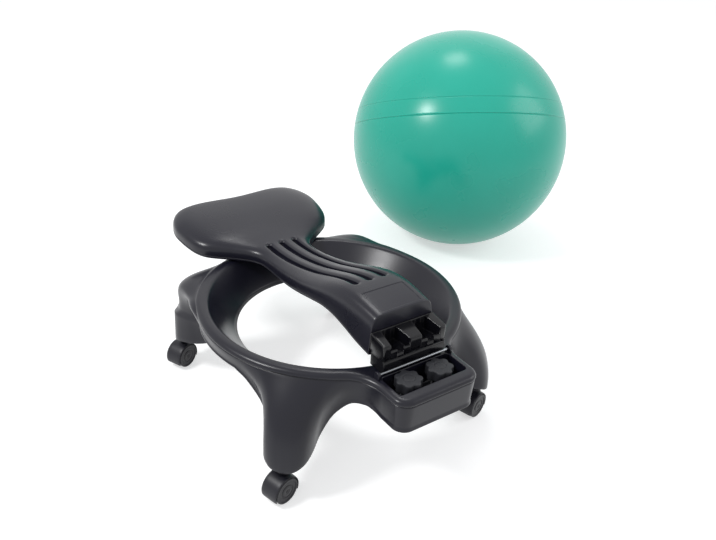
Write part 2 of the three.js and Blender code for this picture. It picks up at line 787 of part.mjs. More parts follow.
// The back's outside as a closed form, or the same set in by a thickness all round
function backForm(inset) {
  const tall = (row) => (row.top - row.under) * backCrown > inset * hollowShare;
  const rows = inset > 0 ? backShares.filter(tall) : backShares;
  const rings = rows.map((row, i) => {
    const shift = i === 0 ? inset : 0;
    const y = shellEnd - row.along * backLength - shift;
    const width = row.wide * padHalfWidth - inset;
    const edge = backHeight(row.edge);
    const rise = backHeight(row.top) - inset - edge;
    const drop = Math.max(edge - backHeight(row.under) - inset, inset * thinShare);
    const ring = [];
    for (let j = 0; j < backSideSteps * 4; j += 1) {
      const angle = ((j / backSideSteps) * Math.PI) / 2;
      const sine = Math.sin(angle);
      const cosine = Math.cos(angle);
      const square = cosine > 0 ? topSquareness : undersideSquareness;
      const x = width * Math.sign(sine) * Math.abs(sine) ** square;
      const height = (cosine > 0 ? rise : -drop) * Math.abs(cosine) ** square;
      ring.push(new THREE.Vector3(x, y, edge + height));
    }
    return ring;
  });
  return ringSurface(rings, false);
}

// Everything below the parting edge of the two shells, moved up or down a little
function belowParting(shift) {
  const points = backShares.map((row) => [
    shellEnd - row.along * backLength,
    backHeight(row.edge) + shift,
  ]);
  const low = backHeight(0) - backCrown;
  const [first, last] = [points[0], points.at(-1)];
  const outline = polygon([
    [first[0] + backCrown, low],
    [first[0] + backCrown, first[1]],
    ...points,
    [last[0] - backCrown, last[1]],
    [last[0] - backCrown, low],
  ]);
  return across(outline, -padHalfWidth - overrun, padHalfWidth + overrun);
}

// A long narrow form with round ends that follows the top of the back
function slotForm(x, halfWidth, depth) {
  const length = slotStart - slotEnd + (halfWidth - slotWidth / 2) * 2;
  const middle = (slotStart + slotEnd) / 2;
  const places = slotTipShares.map((share) => share * halfWidth);
  for (let i = 1; i < slotSteps; i += 1) {
    places.push(halfWidth + ((length - halfWidth * 2) * i) / slotSteps);
  }
  places.push(...slotTipShares.toReversed().map((share) => length - share * halfWidth));
  const rings = places.map((place) => {
    const end = Math.min(place, length - place);
    const width = end < halfWidth ? Math.sqrt(halfWidth ** 2 - (halfWidth - end) ** 2) : halfWidth;
    const y = middle - length / 2 + place;
    const top = backHeight(backRow(y).top);
    return [[-width, overrun], [-width, -depth], [width, -depth], [width, overrun]]
      .map(([dx, dz]) => new THREE.Vector3(x + dx, y, top + dz));
  });
  return ringSurface(rings, false);
}

// Where the back's screws stand: along Z, up from the underside
function backScrews() {
  const places = [];
  for (const share of screwShares) {
    const row = rowAt(backShares, 'along', share.along);
    for (const side of [-1, 1]) {
      places.push({
        x: side * share.across * row.wide * padHalfWidth,
        y: shellEnd - share.along * backLength,
        low: backHeight(row.under) + screwLow,
        edge: backHeight(row.edge),
      });
    }
  }
  const y = shellEnd - spigotLength / 2;
  const low = backHeight(backRow(y).under) + screwLow;
  for (const side of [-1, 1]) places.push({ x: side * pocketX, y, low, edge: spigotLow() });
  return places;
}

function spigotLow() {
  return footBottom + spigotInset;
}

function backShells() {
  const outside = backForm(0);
  const middle = backForm(backWall / 2);
  const hollow = outside.subtract(backForm(backWall));
  const under = belowParting(fitGap / 2);
  // the slots are blind channels
  const slotForms = (wall) => [-slotSpacing, 0, slotSpacing]
    .map((x) => slotForm(x, slotWidth / 2 + wall, slotDepth + wall));
  const bosses = [];
  const seats = [];
  const bores = [];
  for (const screw of backScrews()) {
    const top = screw.low + screwHead + screwLength;
    const column = (radius, low, high) => post(radius, low, high, screw.x, screw.y, screwFacets);
    bosses.push(column(bossRadius, screw.edge + fitGap / 2, backHeight(1) + overrun));
    seats.push(column(bossRadius, backHeight(0), screw.edge - fitGap / 2));
    bores.push(column(screwHeadRadius + fitGap, 0, screw.low + screwHead));
    bores.push(column(screwRadius + fitGap, 0, top + fitGap));
  }
  const inside = Manifold.union([...slotForms(slotWall), ...bosses.slice(0, -2)]).intersect(middle);
  const rear = hollow.add(inside).subtract(under);
  const front = hollow.intersect(belowParting(-fitGap / 2))
    .add(Manifold.union(seats).intersect(middle));
  const panelRow = (y) => {
    const row = backRow(y);
    const edge = backHeight(row.edge);
    const share = (panelHalfWidth / (row.wide * padHalfWidth)) ** (1 / topSquareness);
    const rise = (backHeight(row.top) - edge) * Math.sqrt(1 - share ** 2) ** topSquareness;
    return edge + rise - panelDepth;
  };
  const above = backHeight(1) + overrun;
  const panel = across(polygon([
    [panelStart, panelRow(panelStart)],
    [panelEnd, panelRow(panelEnd)],
    [panelEnd, above],
    [panelStart, above],
  ]), -panelHalfWidth, panelHalfWidth);
  const opening = block(
    [-spigotHalfWidth - fitGap, shellEnd - spigotLength - fitGap, spigotLow() - fitGap],
    [spigotHalfWidth + fitGap, shellEnd + overrun, spigotLow() + spigotDepth + fitGap],
  );
  return {
    rear: rear.subtract(Manifold.union([...slotForms(0), panel, opening, ...bores])),
    front: front.subtract(Manifold.union([opening, ...bores])),
  };
}

// The block that the back stands on, with a pocket for each stud and three lugs on the pin
function footBlock() {
  const start = shellEnd + fitGap;
  const body = across(polygon([
    [start, footBottom],
    [footEnd - footRound, footBottom],
    [footEnd, footBottom + footRound],
    [footEnd, footTopEnd - footRound],
    [footEnd - footRound, footTopEnd],
    [start, footTopInboard],
  ]), -footHalfWidth, footHalfWidth).intersect(upright(roundedRectangle(
    -footHalfWidth,
    start - footCorner,
    footHalfWidth,
    footEnd,
    footCorner,
  ), 0, footTopInboard + overrun, footSteps));
  const parts = [body, block(
    [-spigotHalfWidth, start - spigotLength, spigotLow()],
    [spigotHalfWidth, start + overrun, spigotLow() + spigotDepth],
  )];
  const lug = new THREE.Shape();
  lug.moveTo(pinY + lugRadius, pinZ);
  lug.lineTo(footEnd, footBottom + overrun);
  lug.lineTo(footEnd - lugFoot, footBottom + overrun);
  lug.lineTo(pinY - lugRadius, pinZ + overrun);
  lug.absarc(pinY, pinZ, lugRadius, Math.PI, Math.PI * 2);
  const lugs = [[-lugX, lugHalfWidth], [0, middleLugHalfWidth], [lugX, lugHalfWidth]];
  for (const [x, half] of lugs) parts.push(across(lug, x - half, x + half));
  const boreHalf = footHalfWidth + overrun;
  const cuts = [bar(pinRadius + runGap, -boreHalf, boreHalf, pinY, pinZ)];
  for (const side of [-1, 1]) {
    const x = side * pocketX;
    const wall = footEnd - pocketLip;
    const above = footTopInboard + overrun;
    const past = footEnd + overrun;
    const halfAt = (y) => pocketHalfInboard
      + ((pocketHalfEnd - pocketHalfInboard) * (y - pocketInboard)) / (footEnd - pocketInboard);
    const plan = (y0, y1) => polygon([
      [x - halfAt(y0), y0],
      [x + halfAt(y0), y0],
      [x + halfAt(y1), y1],
      [x - halfAt(y1), y1],
    ]);
    cuts.push(upright(plan(pocketInboard, wall), pocketFloor, above));
    cuts.push(upright(plan(wall - overrun, past), pocketFloor + lipHeight, above));
    cuts.push(block([x - lipSlot, wall - overrun, pocketFloor], [x + lipSlot, past, above]));
    cuts.push(post(screwRadius + fitGap, 0, screwTop(), x, shellEnd - spigotLength / 2));
  }
  return Manifold.union(parts).subtract(Manifold.union(cuts));
}

function screwTop() {
  const row = backRow(shellEnd - spigotLength / 2);
  return backHeight(row.under) + screwLow + screwHead + screwLength + fitGap;
}

function screwSolid({ x, y, low }) {
  const profile = [
    [0, low],
    [screwHeadRadius, low],
    [screwHeadRadius, low + screwHead - fitGap],
    [screwRadius, low + screwHead - fitGap],
    [screwRadius, low + screwHead + screwLength],
    [0, low + screwHead + screwLength],
  ];
  return turned(profile, screwFacets, x, y);
}

// The knobs

const headTop = deckHeight + knobProud;
const headLow = headTop - knobThickness;
const trayFloor = deckHeight - trayDepth;
const washerLow = trayFloor + knobTravel + fitGap;
const hubLow = washerLow + washerThickness + fitGap;

function knobHead(x, y) {
  const facets = knobLobes * lobeFacets;
  const ring = (share, z) => {
    const points = [];
    for (let i = 0; i < facets; i += 1) {
      const angle = (i / facets) * Math.PI * 2;
      const radius = share * (knobRadius - (lobeDepth * (1 - Math.cos(angle * knobLobes))) / 2);
      points.push(new THREE.Vector3(x + radius * Math.cos(angle), y + radius * Math.sin(angle), z));
    }
    return points;
  };
  const star = ringSurface([
    ring(knobLowShare, headLow),
    ring(1, headLow + knobRound),
    ring(1, headTop - knobRound),
    ring(knobTopShare, headTop),
  ], false);
  const bore = post(studRadius + fitGap, hubLow - overrun, headLow + studInHead + fitGap, x, y);
  return star.add(post(hubRadius, hubLow, headLow + overrun, x, y)).subtract(bore);
}

function knobStud(x, y) {
  return post(studRadius, trayFloor - studEnd, headLow + studInHead, x, y);
}

function hollowPost(outer, inner, low, high, x, y) {
  return turned([[inner, low], [outer, low], [outer, high], [inner, high]], smallFacets, x, y);
}

// The casters, modelled with the stem upright and the wheels trailing along +X

function casterHood() {
  const outer = wheelRadius + hoodClear + hoodWall;
  const inner = wheelRadius + hoodClear;
  const low = -hoodTurn * degree;
  const high = Math.PI + hoodTurn * degree;
  const fender = new THREE.Shape();
  fender.absarc(0, 0, outer, low, high);
  fender.absarc(0, 0, inner, high, low, true);
  const web = new THREE.Shape();
  web.absarc(0, 0, outer - hoodWall / 2, low, high);
  const half = webThickness / 2 + hoodCover;
  const carry = (shape, halfWidth) => {
    const geometry = new THREE.ExtrudeGeometry(shape, {
      depth: halfWidth * 2,
      bevelEnabled: false,
      curveSegments: hoodSteps,
    });
    geometry.translate(0, 0, -halfWidth);
    geometry.rotateX(Math.PI / 2);
    geometry.translate(0, 0, wheelRadius);
    return toSolid(geometry);
  };
  const axleAt = (radius, halfWidth) => {
    const geometry = new THREE.CylinderGeometry(radius, radius, halfWidth * 2, smallFacets);
    return toSolid(geometry).translate([0, 0, wheelRadius]);
  };
  const clear = (halfWidth) => {
    const geometry = new THREE.CylinderGeometry(inner, inner, halfWidth * 2, roundFacets);
    return toSolid(geometry).translate([0, 0, wheelRadius]);
  };
  const bossTop = casterHeight - bossBelowSeat;
  const boss = post(stemBossRadius, wheelDiameter - bossSink, bossTop, -casterTrail, 0)
    .subtract(clear(wheelWidth + webThickness));
  const hood = carry(fender, half).add(carry(web, webThickness / 2)).add(boss);
  const bores = [
    axleAt(axleRadius + fitGap, webThickness),
    post(stemRadius + fitGap, wheelDiameter - fitGap, bossTop + overrun, -casterTrail, 0),
  ];
  return hood.subtract(Manifold.union(bores));
}

function casterStem() {
  const low = wheelDiameter;
  const shoulder = casterHeight - bossBelowSeat + fitGap;
  const top = casterHeight + stemLength;
  return turned([
    [0, low],
    [stemRadius, low],
    [stemRadius, shoulder],
    [shoulderRadius, shoulder],
    [shoulderRadius, shoulder + shoulderThickness],
    [stemRadius, shoulder + shoulderThickness],
    [stemRadius, top],
    [0, top],
  ], smallFacets, -casterTrail, 0);
}

function casterAxle() {
  const half = webThickness / 2 + runGap + wheelWidth - rimSink - fitGap;
  const geometry = new THREE.CylinderGeometry(axleRadius, axleRadius, half * 2, smallFacets);
  return toSolid(geometry).translate([0, 0, wheelRadius]);
}

function casterWheel(side) {
  const near = webThickness / 2 + runGap;
  const far = near + wheelWidth;
  const profile = [
    [axleRadius + runGap, near],
    [wheelRadius, near],
    [wheelRadius, far - treadRound],
    [wheelRadius - treadRound, far],
    [wheelRadius - treadRound - rimWidth, far],
    [wheelRadius - treadRound - rimWidth - rimBevel, far - rimSink],
    [axleRadius + runGap, far - rimSink],
  ];
  const points = [...profile, profile[0]].map(([r, place]) => new THREE.Vector2(r, place));
  const geometry = new THREE.LatheGeometry(points, wheelFacets);
  if (side < 0) geometry.rotateX(Math.PI);
  return toSolid(geometry).translate([0, 0, wheelRadius]);
}

function casterSocket() {
  const bore = stemRadius + runGap;
  const outer = bore + socketWall;
  const low = casterHeight;
  const top = low + stemLength + runGap;
  return turned([
    [bore, low],
    [socketFlange, low],
    [socketFlange, low + socketFlangeThickness],
    [outer, low + socketFlangeThickness],
    [outer, top + socketWall],
    [0, top + socketWall],
    [0, top],
    [bore, top],
  ], smallFacets, -casterTrail, 0);
}

// The ball

function ballShell() {
  const radius = ballDiameter / 2;
  const hole = Math.asin((valveRadius + fitGap) / radius) / degree;
  const latitudeAt = (i, count) => 90 - hole - ((180 - hole) * i) / count;
  const rows = [];
  for (let i = 0; i <= ballRows; i += 1) rows.push({ latitude: latitudeAt(i, ballRows), rise: 0 });
  const beadTurn = beadHalfWidth / radius / degree;
  for (const latitude of ballRings) {
    rows.push({ latitude: latitude - beadTurn, rise: 0 });
    rows.push({ latitude, rise: beadHeight });
    rows.push({ latitude: latitude + beadTurn, rise: 0 });
  }
  rows.sort((one, two) => two.latitude - one.latitude);
  const point = (latitude, size) => [
    size * Math.cos(latitude * degree),
    size * Math.sin(latitude * degree),
  ];
  const beadClear = beadTurn * beadClearShare;
  const clear = rows.filter(({ latitude, rise }) => rise > 0
    || rows.every((row) => row.rise === 0 || Math.abs(row.latitude - latitude) > beadClear));
  const outer = clear.map(({ latitude, rise }) => point(latitude, radius + rise));
  const inner = [];
  for (let i = ballInnerRows; i >= 0; i -= 1) {
    inner.push(point(latitudeAt(i, ballInnerRows), radius - ballWall));
  }
  outer[outer.length - 1][0] = 0;
  inner[0][0] = 0;
  return turned([...outer, ...inner], ballFacets);
}

function valvePlug() {
  const radius = ballDiameter / 2;
  return turned([
    [0, radius - valveLength],
    [valveRadius, radius - valveLength],
    [valveRadius, radius + fitGap],
    [valveHeadRadius, radius + fitGap],
    [valveHeadRadius - valveLip / 2, radius + fitGap + valveLip],
    [0, radius + fitGap + valveLip],
  ], smallFacets);
}

// The chair as a scene graph

const chair = new THREE.Group();
const materials = new Map();

function materialOf(look) {
  if (!materials.has(look)) materials.set(look, new THREE.MeshStandardMaterial(look));
  return materials.get(look);
}

function addPart(group, name, solid, look) {
  const mesh = new THREE.Mesh(toGeometry(solid), materialOf(look).clone());
  mesh.name = name;
  group.add(mesh);
  return mesh;
}

addPart(chair, 'base_frame', baseFrame(), blackPlastic);

addPart(chair, 'hinge_pin', bar(pinRadius, -pinHalf, pinHalf, pinY, pinZ), steel);

for (const [side, name] of [[-1, 'right'], [1, 'left']]) {
  const x = side * knobX;
  addPart(chair, `threaded_insert_${name}`, hollowPost(insertRadius, studRadius + fitGap,
    trayFloor - insertLength, trayFloor - fitGap, x, knobY), brass);
  addPart(chair, `knob_washer_${name}`, hollowPost(washerRadius, studRadius + fitGap,
    washerLow, washerLow + washerThickness, x, knobY), steel);
  addPart(chair, `knob_stud_${name}`, knobStud(x, knobY), steel);
  addPart(chair, `knob_head_${name}`, knobHead(x, knobY), knobPlastic);
}

for (const leg of legs) {
  const caster = new THREE.Group();
  const stem = stemPlace(leg);
  const turn = leg.heading * degree;
  caster.position.set(stem.x + casterTrail * Math.cos(turn), stem.y + casterTrail * Math.sin(turn), 0);
  caster.rotation.z = turn;
  chair.add(caster);
  addPart(caster, `caster_socket_${leg.name}`, casterSocket(), steel);
  addPart(caster, `caster_stem_${leg.name}`, casterStem(), steel);
  addPart(caster, `caster_hood_${leg.name}`, casterHood(), wheelPlastic);
  addPart(caster, `caster_axle_${leg.name}`, casterAxle(), steel);
  addPart(caster, `caster_wheel_${leg.name}_a`, casterWheel(1), wheelPlastic);
  addPart(caster, `caster_wheel_${leg.name}_b`, casterWheel(-1), wheelPlastic);
}

const shells = backShells();
addPart(chair, 'back_rear_shell', shells.rear, blackPlastic);
addPart(chair, 'back_front_shell', shells.front, blackPlastic);
addPart(chair, 'foot_block', footBlock(), glossPlastic);
backScrews().forEach((screw, i) => addPart(chair, `back_screw_${i + 1}`, screwSolid(screw), steel));

const ball = new THREE.Group();
ball.position.set(ballX, ballY, ballDiameter / 2);
const lean = new THREE.Vector3(-Math.sin(ballHeading * degree), Math.cos(ballHeading * degree), 0);
ball.quaternion.setFromAxisAngle(lean, ballTilt * degree);
chair.add(ball);
addPart(ball, 'ball_shell', ballShell(), ballVinyl);
addPart(ball, 'valve_plug', valvePlug(), ballVinyl);

// The origin is under the middle of everything, on the floor
chair.updateMatrixWorld(true);
const bounds = new THREE.Box3().setFromObject(chair, true);
const middle = bounds.getCenter(new THREE.Vector3());
chair.position.set(-middle.x, -middle.y, -bounds.min.z);

export default chair;
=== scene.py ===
import math

import bpy
import numpy as np
from mathutils import Matrix, Vector
from mathutils.geometry import tessellate_polygon


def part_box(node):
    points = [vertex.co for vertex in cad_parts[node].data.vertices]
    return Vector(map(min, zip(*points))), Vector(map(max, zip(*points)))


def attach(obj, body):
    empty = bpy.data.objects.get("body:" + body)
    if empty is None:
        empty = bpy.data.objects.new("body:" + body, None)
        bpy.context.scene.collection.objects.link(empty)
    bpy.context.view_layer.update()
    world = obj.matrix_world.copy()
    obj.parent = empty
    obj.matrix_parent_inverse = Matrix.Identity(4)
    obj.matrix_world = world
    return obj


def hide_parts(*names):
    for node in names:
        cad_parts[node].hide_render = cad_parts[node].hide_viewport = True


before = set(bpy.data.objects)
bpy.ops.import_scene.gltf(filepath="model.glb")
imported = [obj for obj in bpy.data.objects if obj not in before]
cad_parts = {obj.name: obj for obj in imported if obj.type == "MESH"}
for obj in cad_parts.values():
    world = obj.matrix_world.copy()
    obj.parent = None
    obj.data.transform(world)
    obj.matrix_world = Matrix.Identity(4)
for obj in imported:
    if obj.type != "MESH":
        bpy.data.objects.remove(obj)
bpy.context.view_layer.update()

# Balance ball chair: the looks of a moulded ring base on four casters, its folded back,
# two star knobs in their tray, and the exercise ball that stands beside it.
mm = 0.001

# The chair was drawn about the middle of its ring, with the tray at +Y. The hinge pin
# gives that middle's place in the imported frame.
hinge = dict(y=235.2, z=211.0, radius=2.2, end=70.4, ear=5.8, earLow=203.4, earFrom=66.5,
             earTo=71.5)


def middleOf(node):
    low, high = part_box(node)
    return np.array((low + high) / 2)


chairPlace = middleOf("hinge_pin")
chairPlace[1:] = chairPlace[1] - hinge["y"] * mm, 0
print("frame loaded, ring middle at", chairPlace.round(4).tolist())


def smooth(share):
    # 3s^2 - 2s^3 between 0 and 1
    s = np.clip(share, 0, 1)
    return s * s * (3 - 2 * s)


def cubic(a, b, c, d, t):
    # Bezier curve: (1-t)^3 a + 3(1-t)^2 t b + 3(1-t) t^2 c + t^3 d
    u = 1 - t
    return u ** 3 * a + 3 * u * u * t * b + 3 * u * t * t * c + t ** 3 * d


def tableAt(table, values):
    # Smooth curve through a table's rows: between two rows a cubic whose end slopes are the
    # chords over the rows on either side. The first column is the key.
    table = np.asarray(table, float)
    key = table[:, 0]
    last = len(key) - 1
    at = np.clip(values, key[0], key[-1])
    i = np.clip(np.searchsorted(key, at) - 1, 0, last - 1)
    before, after = np.maximum(i - 1, 0), np.minimum(i + 2, last)
    span = (key[i + 1] - key[i])[:, None]
    t = ((at - key[i]) / (key[i + 1] - key[i]))[:, None]
    v1, v2 = table[i], table[i + 1]
    slope1 = (v2 - table[before]) / (key[i + 1] - key[before])[:, None]
    slope2 = (table[after] - v1) / (key[after] - key[i])[:, None]
    return cubic(v1, v1 + slope1 * span / 3, v2 - slope2 * span / 3, v2, t)


def rounded(corners, steps=4, closed=True):
    # Outline through corners (x, y, radius): each corner becomes the quadratic curve
    # (1-t)^2 p0 + 2t(1-t) corner + t^2 p1, with p0 and p1 a radius away along its two sides.
    c = np.asarray(corners, float)
    p, r = c[:, :2], np.maximum(c[:, 2:], 0.05)
    sides = [np.roll(p, way, 0) - p for way in (1, -1)]
    p0, p1 = (p + side * np.minimum(r / np.linalg.norm(side, axis=1, keepdims=True), 0.48)
              for side in sides)
    t = np.linspace(0, 1, steps + 1)[None, :, None]
    curve = (1 - t) ** 2 * p0[:, None] + 2 * t * (1 - t) * p[:, None] + t * t * p1[:, None]
    if not closed:
        curve[0], curve[-1] = p[0], p[-1]
        return np.concatenate([p[:1], curve[1:-1].reshape(-1, 2), p[-1:]])
    return curve.reshape(-1, 2)


def unit(vectors):
    return vectors / np.linalg.norm(vectors, axis=-1, keepdims=True)


def onArc(radius, turn, middle=(0, 0)):
    return np.c_[radius * np.cos(turn), radius * np.sin(turn)] + middle


def quarterRound(points):
    # (1 - cos a, 1 - sin a) for a from 0 to a right angle
    return 1 - onArc(1, np.linspace(0, np.pi / 2, points))


def aroundZ(radius, z, turn):
    return np.c_[onArc(radius, turn), z + 0 * turn]


def gridQuads(rows, cols, closeU=False, closeV=True):
    # Faces of a grid of rows x cols points, numbered row by row
    i = np.arange(rows if closeU else rows - 1)[:, None]
    j = np.arange(cols if closeV else cols - 1)[None, :]
    below, beside = (i + 1) % rows, (j + 1) % cols
    corners = [i * cols + j, below * cols + j, below * cols + beside, i * cols + beside]
    return np.stack(corners, -1).reshape(-1, 4)


def facing(points, quads, way, number=0):
    # Faces turned so that the one of a given number looks the way of a vector
    a, b, c = points[quads[number, :3]]
    return quads if np.cross(b - a, c - a) @ np.asarray(way, float) >= 0 else quads[:, ::-1]


def solid(points):
    # Closed surface through a grid points[u, v] that closes round v, with each end row
    # closed on its middle point. Where the sum of a . (b x c) over its triangles, six times
    # its volume, is negative, the faces point in and are turned.
    points = np.asarray(points, float)
    rows, cols = points.shape[:2]
    flat = np.vstack([points.reshape(-1, 3), points[0].mean(0), points[-1].mean(0)])
    quads = gridQuads(rows, cols)
    j, count = np.arange(cols), rows * cols
    k = (j + 1) % cols
    triangles = np.concatenate([
        np.c_[0 * j + count, j, k], np.c_[0 * j + count + 1, count - cols + k, count - cols + j]])
    every = np.concatenate([quads[:, [0, 1, 2]], quads[:, [0, 2, 3]], triangles])
    a, b, c = flat[every[:, 0]], flat[every[:, 1]], flat[every[:, 2]]
    if np.einsum("ij,ij->i", a, np.cross(b, c)).sum() < 0:
        quads, triangles = quads[:, ::-1], triangles[:, ::-1]
    return flat, quads, triangles


def fullTurn(facets):
    return np.linspace(0, 2 * np.pi, facets, endpoint=False)


def turned(profile, facets):
    # A profile (radius, height) carried round the Z axis
    return solid([aroundZ(radius, height, fullTurn(facets)) for radius, height in profile])


def carried(outline, places):
    # An outline (y, z) carried along X: places are x with how far the outline is drawn in
    # towards its own middle there
    outline = np.asarray(outline, float)
    middle = (outline.min(0) + outline.max(0)) / 2
    half = (outline.max(0) - outline.min(0)) / 2
    rows = []
    for x, inset in places:
        drawn = middle + (outline - middle) * (1 - inset / half)
        rows.append(np.c_[np.full(len(drawn), x), drawn])
    return solid(rows)


def roundedEnds(start, end, radius):
    # Places from start to end whose two ends are drawn in on a quarter circle
    away, inset = radius * quarterRound(5).T
    return np.concatenate([np.c_[start + away, inset], np.c_[end - away, inset][::-1]])


def moved(part, matrix=np.eye(3), place=(0, 0, 0)):
    # A part turned or mirrored by a matrix, then moved
    points, quads, triangles = part
    if np.linalg.det(matrix) < 0:
        quads, triangles = quads[:, ::-1], triangles[:, ::-1]
    return points @ matrix.T + place, quads, triangles


swapped = np.array([[0, 1, 0], [1, 0, 0], [0, 0, 1]])


def mirrored(part):
    return moved(part, np.diag([-1.0, 1, 1]))


def rotation(angle, axis="Z"):
    return np.array(Matrix.Rotation(angle, 3, axis))


def addObject(name, data):
    thing = bpy.data.objects.new(name, data)
    bpy.context.scene.collection.objects.link(thing)
    return thing


def addPiece(name, parts, material, body, standsFor, place=chairPlace):
    # One mesh object from closed surfaces in millimetres, smooth shaded, riding on a body
    # and standing for CAD nodes
    starts = np.cumsum([0] + [len(part[0]) for part in parts])
    points = np.concatenate([part[0] for part in parts]) * mm + place
    faces = []
    for kind in (1, 2):
        for part, start in zip(parts, starts):
            faces += (part[kind] + start).tolist()
    mesh = bpy.data.meshes.new(name)
    mesh.from_pydata(points.tolist(), [], faces)
    mesh.shade_smooth()
    mesh.validate()
    mesh.materials.append(material)
    piece = addObject(name, mesh)
    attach(piece, body)
    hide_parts(*standsFor)
    print("made", name, len(points), "points")


def colourOf(hexValue):
    # sRGB hex to linear
    values = np.array([int(hexValue[i:i + 2], 16) for i in (1, 3, 5)]) / 255
    linear = np.where(values <= 0.04045, values / 12.92, ((values + 0.055) / 1.055) ** 2.4)
    return (*linear.tolist(), 1)


def addNode(tree, kind, inputs={}, **settings):
    # One node: inputs are values or the sockets that feed them, settings its properties
    node = tree.nodes.new("ShaderNode" + kind)
    for name, value in settings.items():
        setattr(node, name, value)
    for name, value in inputs.items():
        if isinstance(value, bpy.types.NodeSocket):
            tree.links.new(value, node.inputs[name])
        else:
            node.inputs[name].default_value = value
    return node


def emptyMaterial(name):
    material = bpy.data.materials.new(name)
    material.use_nodes = True
    material.node_tree.nodes.clear()
    return material, material.node_tree


def noise(tree, vector, size, detail, roughness=0.5):
    # Clouds of a size in millimetres
    return addNode(tree, "TexNoise", {
        "Vector": vector, "Scale": 1 / (size * mm), "Detail": detail, "Roughness": roughness,
    }).outputs["Fac"]


def shaded(tree, look, clouds, low, high, inputs):
    # Surface whose tone and gloss follow the clouds between their two values
    tone = addNode(tree, "Mix", {
        "Factor": clouds, 6: colourOf(look["dark"]), 7: colourOf(look["light"]),
    }, data_type="RGBA")
    gloss = addNode(tree, "MapRange", {
        "Value": clouds, "From Min": low, "From Max": high,
        "To Min": look["gloss"][0], "To Max": look["gloss"][1],
    })
    shader = addNode(tree, "BsdfPrincipled", {
        "Base Color": tone.outputs[2], "Roughness": gloss.outputs["Result"], **inputs,
    })
    addNode(tree, "OutputMaterial", {"Surface": shader.outputs["BSDF"]})


def mouldedPlastic(name, **look):
    # Injection-moulded thermoplastic: a spark-eroded mould leaves a fine even grain that
    # softens the gloss, and flow in the mould gives faint broad changes of tone.
    material, tree = emptyMaterial(name)
    at = addNode(tree, "TexCoord").outputs["Object"]
    bump = addNode(tree, "Bump", {
        "Height": noise(tree, at, look["grain"], 2.0), "Strength": look["bump"],
        "Distance": look["grain"] * mm / 3,
    })
    shaded(tree, look, noise(tree, at, look["flow"], 3.0, 0.55), 0.25, 0.75,
           {"Normal": bump.outputs["Normal"], "IOR": look["ior"]})
    return material


def metal(name, **look):
    # Drawn or turned metal: fine tool marks along one way blur the reflections across them
    material, tree = emptyMaterial(name)
    stretch = addNode(tree, "Mapping", {
        "Vector": addNode(tree, "TexCoord").outputs["Object"], "Scale": look["stretch"],
    })
    marks = noise(tree, stretch.outputs["Vector"], look["marks"], 2.0)
    shaded(tree, look, marks, 0.0, 1.0, {"Metallic": 1.0})
    return material


# Polypropylene of the base: black, satin from a textured mould. The grain is drawn at
# 1.4 mm, several times its real size, because a finer one would not show.
baseMaterial = mouldedPlastic("textured polypropylene",
    dark="#0f0f1a", light="#14141f", flow=70, grain=1.4, bump=0.08, gloss=(0.27, 0.33), ior=1.42)
# The same plastic on the back, from a finer mould
backMaterial = mouldedPlastic("satin polypropylene",
    dark="#12121d", light="#171722", flow=90, grain=1.2, bump=0.07, gloss=(0.26, 0.32), ior=1.42)
# ABS of the foot block: polished mould, so it mirrors the lights
footMaterial = mouldedPlastic("polished ABS",
    dark="#09090d", light="#0d0d12", flow=40, grain=1.0, bump=0.03, gloss=(0.15, 0.20), ior=1.38)
# Glass-filled nylon of the knobs: greyer, and matt from the fibres at its face
knobMaterial = mouldedPlastic("glass filled nylon",
    dark="#1e1f23", light="#26272c", flow=12, grain=0.9, bump=0.16, gloss=(0.5, 0.6), ior=1.42)
# Nylon of the casters
casterMaterial = mouldedPlastic("moulded nylon",
    dark="#14141c", light="#1a1a22", flow=25, grain=1.0, bump=0.08, gloss=(0.36, 0.45), ior=1.42)
# PVC of the ball: one colour through, satin, with faint clouds from the uneven wall
ballMaterial = mouldedPlastic("PVC vinyl",
    dark="#14a18b", light="#22ab96", flow=120, grain=0.9, bump=0.03, gloss=(0.26, 0.30), ior=1.45)
plugMaterial = mouldedPlastic("white PVC",
    dark="#d8d8d4", light="#e6e6e2", flow=20, grain=0.9, bump=0.05, gloss=(0.35, 0.42), ior=1.53)
# Nylon of the wheels, worn a little glossier by the floor
wheelMaterial = mouldedPlastic("hard nylon",
    dark="#16161b", light="#1c1c22", flow=18, grain=1.0, bump=0.08, gloss=(0.32, 0.42), ior=1.42)
zincSteel = metal("zinc plated steel",
    dark="#8f9296", light="#b9bcbf", marks=0.6, stretch=(1, 1, 6), gloss=(0.24, 0.36))
pinSteel = metal("drawn steel",
    dark="#75787d", light="#9a9da1", marks=0.6, stretch=(0.1, 1, 1), gloss=(0.22, 0.32))
insertBrass = metal("turned brass",
    dark="#9a7a3c", light="#c6a35c", marks=0.5, stretch=(1, 1, 8), gloss=(0.28, 0.38))
print("materials made")

# Ring base, in millimetres from the ring's middle on the floor
base = dict(
    deckHeight=205, ringRadius=229, rimRadius=211, collarRadius=161, collarDepth=56,
    wall=3.2, rimRound=4, archDepth=32, rearArchDepth=40, wallInset=4, beadDepth=8,
    beadInset=6, grooveDepth=1.8, grooveWidth=3.4, footHeight=60, archRoll=1.6,
    blockHalfWidth=77, blockRear=307, blockCorner=24, blockFillet=62, blockDepth=57,
    ribLow=91, ribHalf=1.6, postBore=7.45, postRadius=10.65, postLow=59.3, boreTop=91.4,
)
